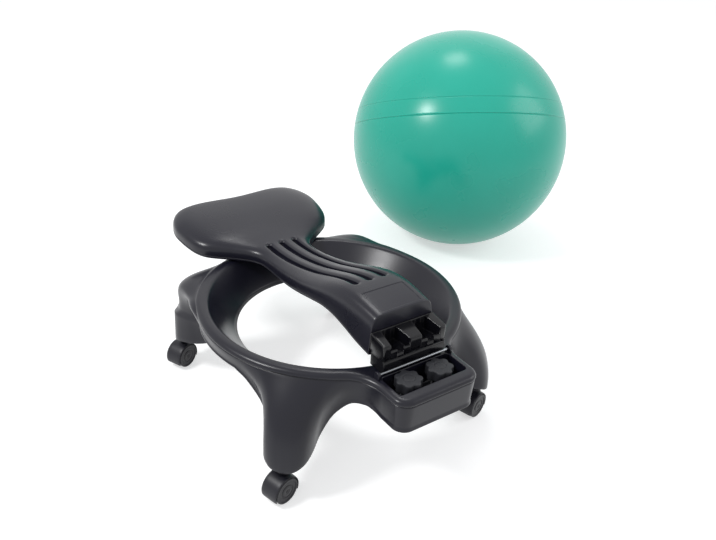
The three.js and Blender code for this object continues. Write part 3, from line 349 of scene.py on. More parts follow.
# Lower edge of each leg: turn from its middle in degrees, then shares across, out, down
# and away from the ring
rearLeg = dict(
    angle=43.3, reach=292, stem=272, toe=38.5, shoulder=25, shift=0, out=33, down=31,
    rise=62, lean=0, waist=0, boot=126, bead=True, edge=[
        (0, 0, 1, 1, 1), (4, 0.48, 0.99, 0.965, 1), (7.5, 0.84, 0.95, 0.89, 1),
        (11, 1.01, 0.87, 0.83, 1), (14.5, 1.1, 0.77, 0.72, 0.96), (18, 1.4, 0.715, 0.42, 0.7),
        (22, 1.9, 0.7, 0.13, 0.28), (27, 2.4, 0.7, 0, 0),
    ])
frontLeg = dict(
    angle=-50, reach=297, stem=284, toe=36, shoulder=34, shift=5, out=64, down=-2.5,
    rise=98, lean=3, waist=8.5, boot=126, bead=False, edge=[
        (0, 0, 1, 1, 1), (4, 0.48, 0.99, 0.98, 1), (7.5, 0.84, 0.95, 0.94, 1),
        (11, 1, 0.87, 0.91, 1), (14.5, 1, 0.79, 0.88, 1), (18, 1.08, 0.725, 0.77, 0.95),
        (22, 1.6, 0.7, 0.33, 0.55), (27, 2.4, 0.7, 0, 0),
    ])
tray = dict(halfWidth=64.5, front=236.5, rear=285, depth=41, corner=6, wall=3.2, lip=1.4,
            floorRound=3, bossBore=6.5, bossRadius=9.7, bossLow=150.3)
knobPlace = np.array([30, 261.5, 0])


def halfEdge():
    # The deck's outline from the front's middle to the tray's rear: an arc of the ring, a
    # concave arc tangent to it, a corner arc and a straight line. Columns: x, y, outward x
    # and y, depth of the wall, how straight the wall is.
    def arc(turn, middle, radius, depth, flat, way=1):
        full = np.ones(len(turn))
        return np.c_[onArc(radius, turn, middle), onArc(way, turn), depth * full, flat * full]

    filletX = base["blockHalfWidth"] + base["blockFillet"]
    filletY = math.sqrt((base["ringRadius"] + base["blockFillet"]) ** 2 - filletX ** 2)
    filletStart = math.atan2(filletY, filletX)
    turn = np.linspace(-np.pi / 2, filletStart, 150, endpoint=False)
    rear, block = base["rearArchDepth"], base["blockDepth"]
    share = np.linspace(0, 1, 22)
    corner = np.array([base["blockHalfWidth"], base["blockRear"]]) - base["blockCorner"]
    return np.concatenate([
        arc(turn, (0, 0), base["ringRadius"],
            np.where(turn > math.radians(rearLeg["angle"]), rear, base["archDepth"]), 0),
        arc(np.pi + filletStart * (1 - share), (filletX, filletY), base["blockFillet"],
            rear + (block - rear) * share, smooth((share - 0.6) / 0.4), -1),
        arc(np.linspace(0, np.pi / 2, 13)[1:], corner, base["blockCorner"], block, 1),
        [(x, base["blockRear"], 0, 1, block, 1) for x in np.linspace(corner[0], 0, 6)[1:]],
    ])


def legTurn(leg):
    # Matrix that turns X out along a leg
    turn = math.radians(leg["angle"])
    x, y = math.cos(turn), math.sin(turn)
    return np.array([[x, -y, 0], [y, x, 0], [0, 0, 1]])


def legWall(edge, leg, t):
    # Wall below the deck's edge: a cubic Bezier curve from under the bead to the lower edge,
    # with its handles out over the shoulder and up the shin
    at, out = edge[:, :2], edge[:, 2:4]
    turn = np.degrees(np.arctan2(at[:, 1], at[:, 0])) - leg["angle"]
    across, reach, drop, leave = tableAt(leg["edge"], np.abs(turn))[:, 1:].T
    drop, leave = np.maximum(drop, 0), np.maximum(leave, 0)
    aside = np.abs(turn - leg["shift"]) / leg["shoulder"]
    spread = smooth(1 - aside)[:, None]
    bead = np.ones(len(turn)) if leg["bead"] else smooth(2 * aside - 1)
    along, beside, upright = legTurn(leg).T
    topZ = base["deckHeight"] - base["beadInset"] * (1 - bead) / 2
    topZ -= (base["beadDepth"] + base["grooveWidth"]) * bead
    start = np.c_[at - out * (base["grooveDepth"] * (bead - 0.5))[:, None], topZ]
    toe = (reach * leg["reach"])[:, None] * along[:2]
    toe = toe + (np.sign(turn) * across * leg["toe"])[:, None] * beside[:2]
    under = at - out * base["wallInset"]
    plain = base["deckHeight"] - edge[:, 4]
    end = np.c_[under + (toe - under) * leave[:, None],
                plain - (plain - base["footHeight"]) * drop]
    rise = ((start[:, 2] - end[:, 2]) / 3)[:, None]
    outward = np.c_[out, 0 * bead]
    first = start + outward * leg["out"] * spread
    first = first - upright * (rise * (1 - spread) + leg["down"] * spread)
    second = end - along * leg["lean"] * spread
    second = second + upright * (rise + (leg["rise"] - rise) * drop[:, None] * spread)
    t = t[None, :, None]
    curve = cubic(start[:, None], first[:, None], second[:, None], end[:, None], t)
    # The front legs step in above their boots
    z = curve[:, :, 2:3] - leg["boot"]
    band = smooth(z / 6) * (1 - smooth((z - 20) / 46))
    curve = curve - outward[:, None] * leg["waist"] * np.minimum(1, 1.7 * spread)[:, None] * band
    straight = start[:, None] + (end - start)[:, None] * t
    flat = edge[:, 5][:, None, None]
    roll = base["archRoll"] * smooth((t - 0.84) / 0.16) * (1 - leave)[:, None, None]
    return curve * (1 - flat) + straight * flat + outward[:, None] * roll, bead


def skinGrid():
    # Rows round the deck's outline, and in each the section from the collar's lower edge up
    # the cone, over the deck and bead, down the wall, and back up inside at one thickness.
    edge = halfEdge()
    t = np.linspace(0, 1, 34)
    rearWall, rearBead = legWall(edge, rearLeg, t)
    frontWall, frontBead = legWall(edge, frontLeg, t)
    turn = np.degrees(np.arctan2(edge[:, 1], edge[:, 0]))
    nearRear = np.abs(turn - rearLeg["angle"]) < np.abs(turn - frontLeg["angle"])
    wall = np.where(nearRear[:, None, None], rearWall, frontWall)
    bead = np.where(nearRear, rearBead, frontBead)
    wall = np.concatenate([wall, wall[-2:0:-1] * [-1, 1, 1]])
    bead = np.concatenate([bead, bead[-2:0:-1]])
    edge = np.concatenate([edge, edge[-2:0:-1] * [-1, 1, -1, 1, 1, 1]])
    at, out = edge[:, :2], edge[:, 2:4]
    radial = unit(at)
    deck, thick = base["deckHeight"], base["wall"]
    collar, rimRound = base["collarRadius"], base["rimRound"]
    low, coneRise = deck - base["collarDepth"], base["collarDepth"] - rimRound
    rimIn = base["rimRadius"] - rimRound
    coneLean = (rimIn - collar) / coneRise

    def ringPoint(radius, z):
        return np.c_[radial * radius, np.full(len(at), float(z))]

    def edgePoint(inset, z):
        return np.c_[at - (out.T * inset).T, np.broadcast_to(z, len(at))]

    lipIn = collar + thick * math.hypot(1, coneLean)
    rows = []
    for share in np.linspace(0, 1, 6)[1:-1]:
        swell = 1.2 * math.sin(share * np.pi)
        rows.append(ringPoint(lipIn + (collar - lipIn) * share, low - swell))
    for share in np.linspace(0, 1, 9)[:-1]:
        rows.append(ringPoint(collar + (rimIn - collar) * share, low + coneRise * share))
    for share in np.linspace(0, 1, 9):
        away = 1 - share
        radius = away ** 2 * rimIn + 2 * share * away * (rimIn + rimRound * coneLean)
        radius += share ** 2 * (base["rimRadius"] + rimRound)
        rows.append(ringPoint(radius, deck - away ** 2 * rimRound))
    deckRow = len(rows) - 1
    # inset and drop of the rounded edge, with the full bead and groove and without
    beadTable = [
        (0, 10.5, 0, 9, 0), (1, 7.6, 0.3, 6.6, 0.12), (2, 4.9, 1.05, 4.5, 0.4),
        (3, 2.6, 2.35, 2.6, 0.8), (4, 1, 4.1, 1.3, 1.25), (5, 0.15, 6, 0.5, 1.65),
        (6, 0, 7.7, 0, 2), (7, 0.7, 9, -0.3, 2.3), (8, 2.1, 9.8, -0.5, 2.5),
        (9, 1.8, 10.6, -0.7, 2.75), (10, 0.9, 11.4, -0.9, 3),
    ]
    for row in tableAt(beadTable, np.linspace(0, 10, 22)[:-1]):
        inset = row[3] + (row[1] - row[3]) * bead
        rows.append(edgePoint(inset, deck - (row[4] + (row[2] - row[4]) * bead)))
    rows.extend(wall[:, j] for j in range(len(t)))
    alongU = np.roll(wall, -1, 0) - np.roll(wall, 1, 0)
    down = np.gradient(wall, axis=1)
    inner = wall - unit(np.cross(down, alongU)) * thick
    ending = unit(down[:, -1])
    for share in np.linspace(0, 1, 7)[1:-1]:
        between = wall[:, -1] + (inner[:, -1] - wall[:, -1]) * (1 - math.cos(share * np.pi)) / 2
        rows.append(between + ending * math.sin(share * np.pi))
    rows.extend(inner[:, j] for j in range(len(t) - 1, 2, -3))
    rows.append(edgePoint(thick + base["grooveDepth"], deck - base["beadDepth"]))
    rows.append(edgePoint(thick + base["beadInset"] / 2, deck - thick))
    underRow = len(rows) - 1
    rows.append(ringPoint(rimIn + thick * (1 + coneLean) * 0.83, deck - thick))
    rows.append(ringPoint(lipIn, low))
    return np.stack(rows, 1), deckRow, underRow, inner, edge


def flatFill(points, loops, up):
    # Flat triangles between a loop of points and the holes in it, facing up or down
    corners = [[Vector((x, y, 0)) for x, y in points[loop, :2]] for loop in loops]
    triangles = np.concatenate(loops)[np.array(tessellate_polygon(corners))]
    a, b, c = (points[triangles[:, k], :2] for k in range(3))
    wrong = (np.cross(b - a, c - a) > 0) != up
    triangles[wrong] = triangles[wrong][:, ::-1]
    return triangles


def trayLoops(shape):
    # The tray's outline, four quarter circles, grown by each g at each height z
    turn = (np.linspace(0, np.pi / 2, 8) + np.arange(4)[:, None] * np.pi / 2).ravel()
    corner = tray["corner"]
    x, front, rear = tray["halfWidth"] - corner, tray["front"] + corner, tray["rear"] - corner
    middles = np.repeat([(x, rear, 0), (-x, rear, 0), (-x, front, 0), (x, front, 0)], 8, 0)
    return np.array([aroundZ(corner + g, z, turn) + middles for g, z in shape])


def baseSkin():
    # The skin's grid with the deck open over the tray, and as loops sunk from the two
    # openings the tray's inside and outside and the bosses under it
    grid, deckRow, underRow, inner, edge = skinGrid()
    rows, cols = grid.shape[:2]
    points = grid.reshape(-1, 3)
    quads = facing(points, gridQuads(rows, cols, True), (0, 0, 1), deckRow)
    start = int(np.argmax(edge[:rows // 2, 5] > 0.02))
    over = np.arange(start, rows - start)
    quads = np.delete(quads, np.concatenate([over * cols + deckRow, over * cols + underRow]), 0)
    deck, wall, lip, corner = base["deckHeight"], tray["wall"], tray["lip"], tray["floorRound"]
    floor = deck - tray["depth"]
    low = floor - wall
    inside = [(lip * b, deck - lip * a) for a, b in quarterRound(6)]
    inside += [(-corner * a, floor + corner * b) for a, b in quarterRound(6)]
    outside = [(wall, deck - base["wall"]), (wall, low + 2), (wall - 0.6, low + 0.6),
               (wall - 2, low)]
    bore, outer, end = tray["bossBore"], tray["bossRadius"], tray["bossLow"]
    boss = [(bore, floor), (bore, floor - 6), (bore, end + 0.6), (bore + 0.4, end),
            (outer - 0.4, end), (outer, end + 0.4), (outer, low)]
    boss = np.array([aroundZ(radius, z, fullTurn(40)) + knobPlace for radius, z in boss])
    groups = [trayLoops(inside), trayLoops(outside), boss - 2 * knobPlace * [1, 0, 0], boss]
    starts = np.cumsum([len(points)] + [group[..., 0].size for group in groups])
    for group, first, way in zip(groups, starts, (-1, 1, -1, -1)):
        sunk = facing(group.reshape(-1, 3), gridQuads(*group.shape[:2]), (way, 0, 0))
        quads = np.concatenate([quads, sunk + first])
    points = np.concatenate([points] + [group.reshape(-1, 3) for group in groups])
    span = np.arange(start, rows - start + 1) * cols
    # Points of a tray loop and a boss circle, counted from a group's start and its end
    ring, disc = np.arange(32), np.arange(40)
    lastRing, lastDisc = ring - 32, disc - 40
    triangles = [flatFill(points, loops, up) for loops, up in (
        ([np.concatenate([span + deckRow, span[::-1] + deckRow + 1]), starts[0] + ring], True),
        ([np.concatenate([span + underRow + 1, span[::-1] + underRow]), starts[1] + ring], False),
        ([starts[1] + lastRing, starts[2] + disc, starts[3] + disc], True),
        ([starts[2] + lastRing, starts[3] + lastDisc, starts[4] + lastDisc], False),
    )]
    return (points, quads, np.concatenate(triangles)), inner


def plate(places, high):
    # A thin upright rib along X with a rounded lower edge
    half, low = base["ribHalf"], base["ribLow"]
    outline = [(-half, low + 0.8), (0.8 - half, low), (half - 0.8, low), (half, low + 0.8),
               (half, high), (-half, high)]
    rows = [np.c_[places, y + 0 * places, z + 0 * places] for y, z in outline]
    return solid(np.stack(rows, 1))


def legInside(leg, inner):
    # A post for the caster's socket, a rib along the leg and one across it, all cut to the
    # skin's inner face, in the leg's own directions until the end
    inner = inner @ legTurn(leg)
    outwards, aside, height = inner[..., 0], inner[..., 1], inner[..., 2]
    near = np.argmin(np.where(outwards[:, -1] > 0, np.abs(aside[:, -1]), 1e9))
    profile = np.maximum.accumulate(outwards[near])

    def underSkin(radius):
        return np.interp(radius, profile, height[near]) + 0.8

    stem, bore, outer, end = leg["stem"], base["postBore"], base["postRadius"], base["postLow"]
    top = np.minimum(underSkin(stem + outer * np.cos(fullTurn(32))), base["deckHeight"] - 1)
    post = turned([(bore, base["boreTop"]), (bore, end + 0.6), (bore + 0.5, end),
                   (outer - 0.5, end), (outer, end + 0.6), (outer, top)], 32)
    low = base["ribLow"] + 3
    radius = np.linspace(216, profile[-1], 60)
    high = underSkin(radius)
    along = plate(radius[high > low], high[high > low])
    crosses = outwards >= stem
    column = np.nonzero(crosses.any(1) & (outwards[:, -1] > 0))[0]
    first = np.maximum(crosses[column].argmax(1), 1)
    before, after = (column, first - 1), (column, first)
    share = (stem - outwards[before]) / np.maximum(outwards[after] - outwards[before], 1e-6)
    share = np.clip(share, 0, 1)
    z = height[before] * (1 - share) + height[after] * share
    s = aside[before] * (1 - share) + aside[after] * share
    order = np.argsort(s)
    s, z = s[order], z[order]
    close = (np.abs(s) < leg["toe"] * 2) & (z > low)
    places = np.linspace(s[close].min(), s[close].max(), 40)
    across = plate(places, np.interp(places, s[close], z[close]) + 0.8)
    there = (stem, 0, 0)
    parts = [moved(post, place=there), along, moved(across, swapped, there)]
    return [moved(part, legTurn(leg)) for part in parts]


skin, inner = baseSkin()
turn = np.linspace(0, np.pi, 17)
y, z, low, reach = hinge["y"], hinge["z"], hinge["earLow"], hinge["ear"]
ear = np.concatenate([[[y - reach, low], [y + reach, low]], onArc(reach, turn, (y, z))])
rightHalf = inner[:len(inner) // 2 + 1]
rightParts = legInside(rearLeg, rightHalf) + legInside(frontLeg, rightHalf)
rightParts.append(carried(ear, roundedEnds(hinge["earFrom"], hinge["earTo"], 0.9)))
baseParts = [skin] + rightParts + [mirrored(part) for part in rightParts]
addPiece("base_moulding", baseParts, baseMaterial, "base", ["base_frame"])
print("ring base done")

# Exercise ball: a sphere with two moulded rings round its leaning axis. A ring adds
# h (0.4 e^(-((s-1.7)/1.3)^2) - e^(-(s/1.1)^2)) to the radius: a groove and the bead above it,
# with s the distance along the skin and h its depth.
ball = dict(radius=260, drawnIn=0.5, tilt=23.8, heading=-116.3, rings=((17, 0.8), (8.7, 1.2)),
            groove=1.1, bead=1.3, beadAt=1.7, beadShare=0.4, head=8, plug=5)
ballPlace = middleOf("ball_shell")
lean = rotation(math.radians(ball["heading"])) @ rotation(math.radians(ball["tilt"]), "Y")
latitude = [np.linspace(-89.6, 89.6, 121)]
latitude += [ring + np.linspace(-1.1, 1.3, 41) for ring, _ in ball["rings"]]
latitude = np.radians(np.unique(np.concatenate(latitude).round(4)))
radius = np.full(len(latitude), ball["radius"] - ball["drawnIn"])
for ring, height in ball["rings"]:
    along = (latitude - math.radians(ring)) * ball["radius"]
    radius += ball["beadShare"] * height * np.exp(-((along - ball["beadAt"]) / ball["bead"]) ** 2)
    radius -= height * np.exp(-(along / ball["groove"]) ** 2)
addPiece("ball_skin", [moved(turned(onArc(radius, latitude), 192), lean)], ballMaterial,
         "ball", ["ball_shell"], ballPlace)
top = ball["radius"] + 0.2
plug = rounded([
    (0, top - 6, 0), (ball["plug"], top - 6, 0.5), (ball["head"], top - 0.6, 0.3),
    (ball["head"] - 0.4, top + 0.7, 0.5), (3.2, top + 0.9, 0.4), (2.4, top + 0.3, 0.4),
    (0, top + 0.3, 0),
], closed=False)
addPiece("ball_plug", [moved(turned(plug, 48), lean)], plugMaterial, "ball",
         ["valve_plug"], ballPlace)

# Back: a hollow moulding along -Y. A row gives the share of its length from the foot end to
# the tip, half the width W, the heights of its top, edge and underside, the power n of its
# upper half and how far that half leans in. With s = z / rise, the upper half is
# x = W (1 - lean s) (1 - s^n)^(1/n), and the lower half the same without the lean.
back = dict(
    end=198, length=566, deck=205, crown=92, halfWidth=149, underPower=4.4,
    slots=(-27, 0, 27), slotWidth=9, slotStart=113, slotEnd=-170, slotDepth=13,
    shoulderWide=6.4, shoulderDeep=4.6, panelHalf=39, panelNear=193, panelFar=143,
    panelDepth=0.9, groove=0.9, endRound=1.3, tipRound=15, fixedTo=40.5, tipHollow=8)
backShares = [
    (0, 0.413, 0.902, 0.22, 0.16, 8, 0.08), (0.053, 0.424, 0.951, 0.285, 0.23, 7.5, 0.08),
    (0.108, 0.434, 0.985, 0.385, 0.33, 6.2, 0.07), (0.164, 0.437, 0.972, 0.45, 0.4, 5, 0.05),
    (0.221, 0.434, 0.89, 0.445, 0.395, 4.2, 0.02), (0.281, 0.424, 0.766, 0.37, 0.315, 3.7, 0),
    (0.35, 0.404, 0.622, 0.262, 0.2, 3.6, 0), (0.403, 0.384, 0.53, 0.18, 0.12, 3.6, 0),
    (0.456, 0.368, 0.455, 0.122, 0.062, 3.6, 0), (0.514, 0.351, 0.388, 0.086, 0.023, 3.6, 0),
    (0.572, 0.343, 0.348, 0.07, 0.0045, 3.6, 0), (0.615, 0.362, 0.333, 0.07, 0.0033, 3.7, 0),
    (0.65, 0.44, 0.335, 0.076, 0.0033, 3.8, 0), (0.686, 0.6, 0.36, 0.09, 0.0033, 3.9, 0),
    (0.717, 0.765, 0.393, 0.102, 0.0033, 4, 0), (0.742, 0.88, 0.425, 0.12, 0.006, 4.1, 0),
    (0.772, 0.95, 0.462, 0.137, 0.02, 4.1, 0), (0.81, 0.99, 0.5, 0.16, 0.045, 4.1, 0),
    (0.85, 1.012, 0.533, 0.183, 0.078, 4.1, 0), (0.89, 1.018, 0.556, 0.205, 0.108, 4.1, 0),
    (0.93, 0.985, 0.57, 0.226, 0.14, 4.1, 0), (0.96, 0.925, 0.574, 0.243, 0.168, 4.1, 0),
    (0.982, 0.845, 0.566, 0.256, 0.19, 4.1, 0), (1, 0.745, 0.55, 0.268, 0.21, 4.1, 0),
]
slotHalf = back["slotWidth"] / 2
slotSteps = (0, 0.25, 0.6, 1.1, 1.8, 2.7, 3.8, 5.1, 6.4)
slotRho = [0, 2, 3.6, slotHalf - 0.07] + [slotHalf + away for away in slotSteps]
slotColumns = [(slot + rho, slot, rho) for slot in back["slots"]
               for rho in slotRho + [-away for away in slotRho[1:]]]
flatColumns = [(way * x, 0, 99) for way in (1, -1)
               for x in (12.2, 13.5, 14.8, 38.6, 38.85, 39.15, 39.4, 40.5)]
topX, topSlot, topRho = np.array(sorted(slotColumns + flatColumns)).T
slotStart = back["slotStart"] - slotHalf
slotEnd = back["slotEnd"] + slotHalf


def backSection(y, inset=0.0, flatter=0.0):
    # Closed section at y: fixed columns over the slots and the panel, then points by
    # direction round to the parting groove, and on under the back to the other side. It is
    # drawn in by inset, and pressed towards its edge line by the share flatter.
    row = tableAt(backShares, [(back["end"] - y) / back["length"]])[0]
    half = row[1] * back["halfWidth"] - inset
    top, side, under = back["deck"] + row[2:5] * back["crown"]
    rise, fall = max(top - inset - side, 0.3), max(side - under - inset * 0.5, 0.3)
    rise, fall = rise * (1 - flatter), fall * (1 - flatter)
    n, lean, m = row[5], row[6], back["underPower"]

    def wideAt(s, power, lean):
        return half * (1 - lean * s) * np.maximum(1 - s ** power, 0) ** (1 / power)

    def shareAt(x):
        # s where the section is x wide, by halving
        low, high = np.zeros(len(x)), np.ones(len(x))
        for _ in range(40):
            middle = (low + high) / 2
            wide = wideAt(middle, n, lean) > x
            low, high = np.where(wide, middle, low), np.where(wide, high, middle)
        return low

    # A slot's columns follow its round ends: at e beyond its straight part the column at rho
    # moves to sqrt(rho^2 - e^2), and opens again past the shoulder
    beyond = max(y - slotStart, slotEnd - y, 0)
    size = np.abs(topRho)
    opened = 0.06 + 0.94 * smooth((beyond - slotRho[-1]) / 10)
    pulled = np.maximum(np.sqrt(np.maximum(size ** 2 - beyond ** 2, 0)), size * opened)
    fixed = size > 50
    x = np.where(fixed, topX, topSlot + np.copysign(pulled, topRho))
    distance = np.where(fixed, 99, np.maximum(size, beyond))
    # An elliptic shoulder runs down to a slot's wall, and inside it lies the slot's floor
    away = distance - slotHalf
    near = np.clip(1 - away / back["shoulderWide"], 0, 1)
    shoulder = back["shoulderDeep"] * (1 - np.sqrt(1 - near ** 2))
    z = side + rise * shareAt(np.abs(x)) - np.where(away < -0.05, back["slotDepth"], shoulder)
    into = min(y - back["panelFar"], back["panelNear"] - y) + 0.15
    if into > 0:
        across = np.clip((back["panelHalf"] + 0.15 - np.abs(x)) / 0.3, 0, 1)
        z -= back["panelDepth"] * across * min(into / 0.3, 1)
    upper = np.c_[x, z]

    gap = max(min(1, rise / 6, fall / 3), 1e-3)
    start = shareAt([back["fixedTo"]])[0]
    first = back["fixedTo"] / (half * (1 - lean * start))
    phi = np.linspace(math.atan2(first, start), np.pi / 2, 28)[1:-1]
    s = np.cos(np.arctan(np.tan(phi) ** (n / 2))) ** (2 / n)
    s = np.clip(s, 1.9 * gap / rise, None) + np.linspace(1e-4, 0, len(s))
    right = np.c_[wideAt(s, n, lean), side + rise * s]
    seam = []
    for depth, z in ((0, 1.5), (0.15, 0.6), (1, 0.25), (1, -0.25), (0.15, -0.6), (0, -1.5)):
        wide = wideAt(z * gap / rise, n, lean) if z > 0 else wideAt(-z * gap / fall, m, 0)
        seam.append((wide - depth * back["groove"] * gap, side + z * gap))
    phi = np.minimum(np.linspace(np.pi / 2, 0, 30)[1:], 1.5707)
    s = np.clip(np.cos(np.arctan(np.tan(phi) ** (m / 2))) ** (2 / m), 1.7 * gap / fall, 1)
    edge = np.concatenate([right, seam, np.c_[wideAt(s, m, 0), side - fall * s]])
    ring = np.concatenate([upper, edge, edge[-2::-1] * [-1, 1]])
    # The tip is hollowed in its middle
    near = smooth((back["end"] - back["length"] + 75 - y) / 75)
    place = y + back["tipHollow"] * near * (1 - smooth(np.abs(ring[:, 0]) / 95))
    return np.c_[ring[:, 0], place, ring[:, 1]]


rowsAt = list(np.arange(-354, 192, 3.6))
for end, way in ((slotStart, 1), (slotEnd, -1)):
    away = [0, 0.9, 1.8, 2.7, 3.4, 3.9, 4.25, slotHalf - 0.07] + [slotHalf + a for a in slotSteps]
    rowsAt += [end + way * e for e in away + [12.4, 14, 16, 18.5, 21]]
for panelEnd in (back["panelNear"], back["panelFar"]):
    rowsAt += [panelEnd - 0.15, panelEnd + 0.15, panelEnd - 0.6, panelEnd + 0.6]
kept = [1e3]
for y in sorted(rowsAt, reverse=True):
    if kept[-1] - y > 0.055:
        kept.append(y)
foot0, tip0 = back["end"], back["end"] - back["length"]
endRound, tipRound = back["endRound"], back["tipRound"]
sections = [backSection(foot0, endRound, flatter) for flatter in (0.99, 0.8, 0.6, 0.4, 0.2, 0.02)]
sections += [backSection(foot0 - away, inset) for away, inset in endRound * quarterRound(7)]
sections += [backSection(y) for y in kept[1:] if tip0 + tipRound + 1 < y < foot0 - endRound - 0.4]
sections += [backSection(tip0 + tipRound * away, 6 * inset, inset)
             for away, inset in 1 - onArc(1, np.linspace(np.pi / 2, 0.03, 15))]
addPiece("back_moulding", [solid(sections)], backMaterial, "back",
         ["back_rear_shell", "back_front_shell"])
print("back done")

# Foot block: a height over (x, y) with two open pockets, over a flat underside. Its columns
# follow the pockets' slanted sides, and each height is the higher of what the column and the
# row ask for.
foot = dict(
    start=198.3, end=235, low=228, topStart=262, topEnd=256, half=60, corner=5, round=2.5,
    pocketX=29, pocketStart=200.9, halfStart=13.3, halfEnd=18.5, floor=238, lipStart=231.5,
    lipTop=245, lipSlot=6, edge=1.2, draft=1.6, hookLow=207, hookHalf=59)


def footBlock():
    edge, end, middle, floor = foot["edge"], foot["end"], foot["pocketX"], foot["floor"]
    start, pocketStart = foot["start"], foot["pocketStart"]
    quarter = [(1, 0), (0.62, 0.08), (0.29, 0.29), (0.08, 0.62), (0, 1)]
    rising = quarter[::-1]
    # Columns of one pocket from its middle outwards: whether they follow its side, how far
    # away, their level (0 floor, 1 top) with its drop or rise, and the same in the lip's rows
    columns = [(0, away, 0, 0, 0, 0) for away in (0, 3, 5.3, foot["lipSlot"])]
    columns += [(0, foot["lipSlot"] + 0.8 * b, 0, 0, 1, 0.8 * a) for b, a in rising]
    columns += [(0, 9.5, 0, 0, 1, 0)]
    columns += [(1, -edge * b, 0, edge * a, 1, 0) for b, a in quarter]
    columns += [(1, edge * b, 1, edge * a, 1, 0) for b, a in rising]
    pocket = np.array(columns[:0:-1] + columns)
    way = np.repeat([-1, 1], [len(columns) - 1, len(columns)])
    plain = [(1, 0, 1, 0)]
    level, off, lipLevel, lipOff = np.concatenate([
        plain * 4, pocket[:, 2:], plain * 3, [(1, 2 * a, 1, 0) for _, a in quarter]]).T
    # Rows: y, their level (0 pocket, 1 lip, 2 top) and its drop or rise. Where two share
    # a y, the first here comes first.
    rows = [(y, 0, 0) for y in (208, 212, 216, 220, 224, 228)]
    rows += [(end - foot["round"] * b, 1, 0) for b in (0.9, 0.62, 0.29, 0.08, 0)]
    for y, size, rowLevel in ((start, 0.8, 2), (pocketStart, -edge, 2), (pocketStart, edge, 0),
                              (foot["lipStart"], -0.8, 0), (foot["lipStart"], 0.6, 1)):
        rows += [(y + size * b, rowLevel, abs(size) * a) for b, a in quarter]

    def drop(y, radius):
        # How far an end rounded by a radius has fallen away at y
        into = min(max((y - (end - radius)) / radius, 0), 1)
        return radius * (1 - math.sqrt(1 - into * into))

    top = []
    for y, rowLevel, rowOff in sorted(rows, key=lambda row: row[0]):
        share = (y - start) / (end - start)
        full = foot["topStart"] + (foot["topEnd"] - foot["topStart"]) * share
        full -= drop(y, foot["round"])
        share = (y - pocketStart) / (end - pocketStart)
        wall = foot["halfStart"] + (foot["halfEnd"] - foot["halfStart"]) * share
        outboard, outer = middle + wall + edge, foot["half"] - drop(y, foot["corner"])
        x = np.concatenate([
            (middle - wall - edge) * np.array([0, 0.3, 0.6, 0.85]),
            middle + way * (pocket[:, 1] + wall * pocket[:, 0]),
            outboard + (outer - 2.2 - outboard) * np.array([0.25, 0.5, 0.75]),
            [outer - 2 * b for b, _ in quarter],
        ])
        height = np.where(level > 0, full - off, floor + off)
        if rowLevel == 2:
            height = np.full(len(x), full - rowOff)
        elif rowLevel == 1:
            lip = foot["lipTop"] - np.maximum(lipOff, max(rowOff, drop(y, 1.2)))
            height = np.maximum(height, np.where(lipLevel > 0, lip, floor))
        else:
            height = np.maximum(height, floor + rowOff)
        line = np.c_[x, np.full(len(x), y), height]
        top.append(np.concatenate([line[:0:-1] * [-1, 1, 1], line]))
    top, draft = np.array(top), foot["draft"]
    under = top * [1 - draft / foot["half"], 1, 0] + [0, 0, foot["low"]]
    under[..., 1] -= draft * (top[..., 1] - start) / (end - start)
    count, cols = top.shape[:2]
    flat = np.concatenate([top.reshape(-1, 3), under.reshape(-1, 3)])
    quads = facing(flat, gridQuads(count, cols, False, False), (0, 0, 1))
    index = np.arange(count * cols).reshape(count, cols)
    border = np.concatenate([index[0], index[1:, -1], index[-1, -2::-1], index[-2:0:-1, 0]])
    waist = flat[border] * [1, 1, 0] + [0, 0, foot["low"] + draft]
    rings = np.concatenate([border, len(flat) + np.arange(len(border)), border + count * cols])
    flat = np.concatenate([flat, waist])
    sides = facing(flat, rings[gridQuads(3, len(border))], (0, -1, 0))
    quads = np.concatenate([quads, quads[:, ::-1] + count * cols, sides])
    return flat, quads, np.zeros((0, 3), int)


# Under the block a hook lies over the hinge bar from behind
turn = np.linspace(np.pi / 2, np.pi * 1.3, 15)
y, z, radius = hinge["y"], hinge["z"], hinge["radius"] + 0.35
front, low, top = foot["start"] + 2.6, foot["hookLow"], foot["low"]
hook = np.concatenate([
    [[front, top + 1.5], [foot["end"] - 1.6, top + 1.5], [y - 0.6, top - 3],
     [y + 0.6, z + radius + 1], [y + 0.5, z + radius + 0.3]],
    onArc(radius, turn, (y, z)),
    [[y - 2.6, low + 0.4], [y - 4, low], [front + 1.4, low], [front, low + 1.4]],
])
ends = roundedEnds(-foot["hookHalf"], foot["hookHalf"], 1.4)
addPiece("foot_moulding", [footBlock(), carried(hook, ends)], footMaterial, "back", ["foot_block"])

# Hinge pin: a bar with chamfered ends
radius, end = hinge["radius"], hinge["end"]
pinProfile = rounded([
    (0, -end, 0), (radius - 0.4, -end, 0.1), (radius, 0.5 - end, 0.2), (radius, end - 0.5, 0.2),
    (radius - 0.4, end, 0.1), (0, end, 0),
], 3, False)
bar = moved(turned(pinProfile, 48), rotation(math.pi / 2, "Y"), (0, hinge["y"], hinge["z"]))
addPiece("hinge_bar", [bar], pinSteel, "base", ["hinge_pin"])

# Knobs: seven lobes. The radius is R - depth ((1 - cos 7a) / 2)^p, with p over 1 so that the
# notches are narrower than the lobes, and a share blends it into a circle near the middle.
knob = dict(radius=22, depth=3.6, lobes=7, power=1.25, top=209.5, low=190.5, hub=9, hubLow=174.6)


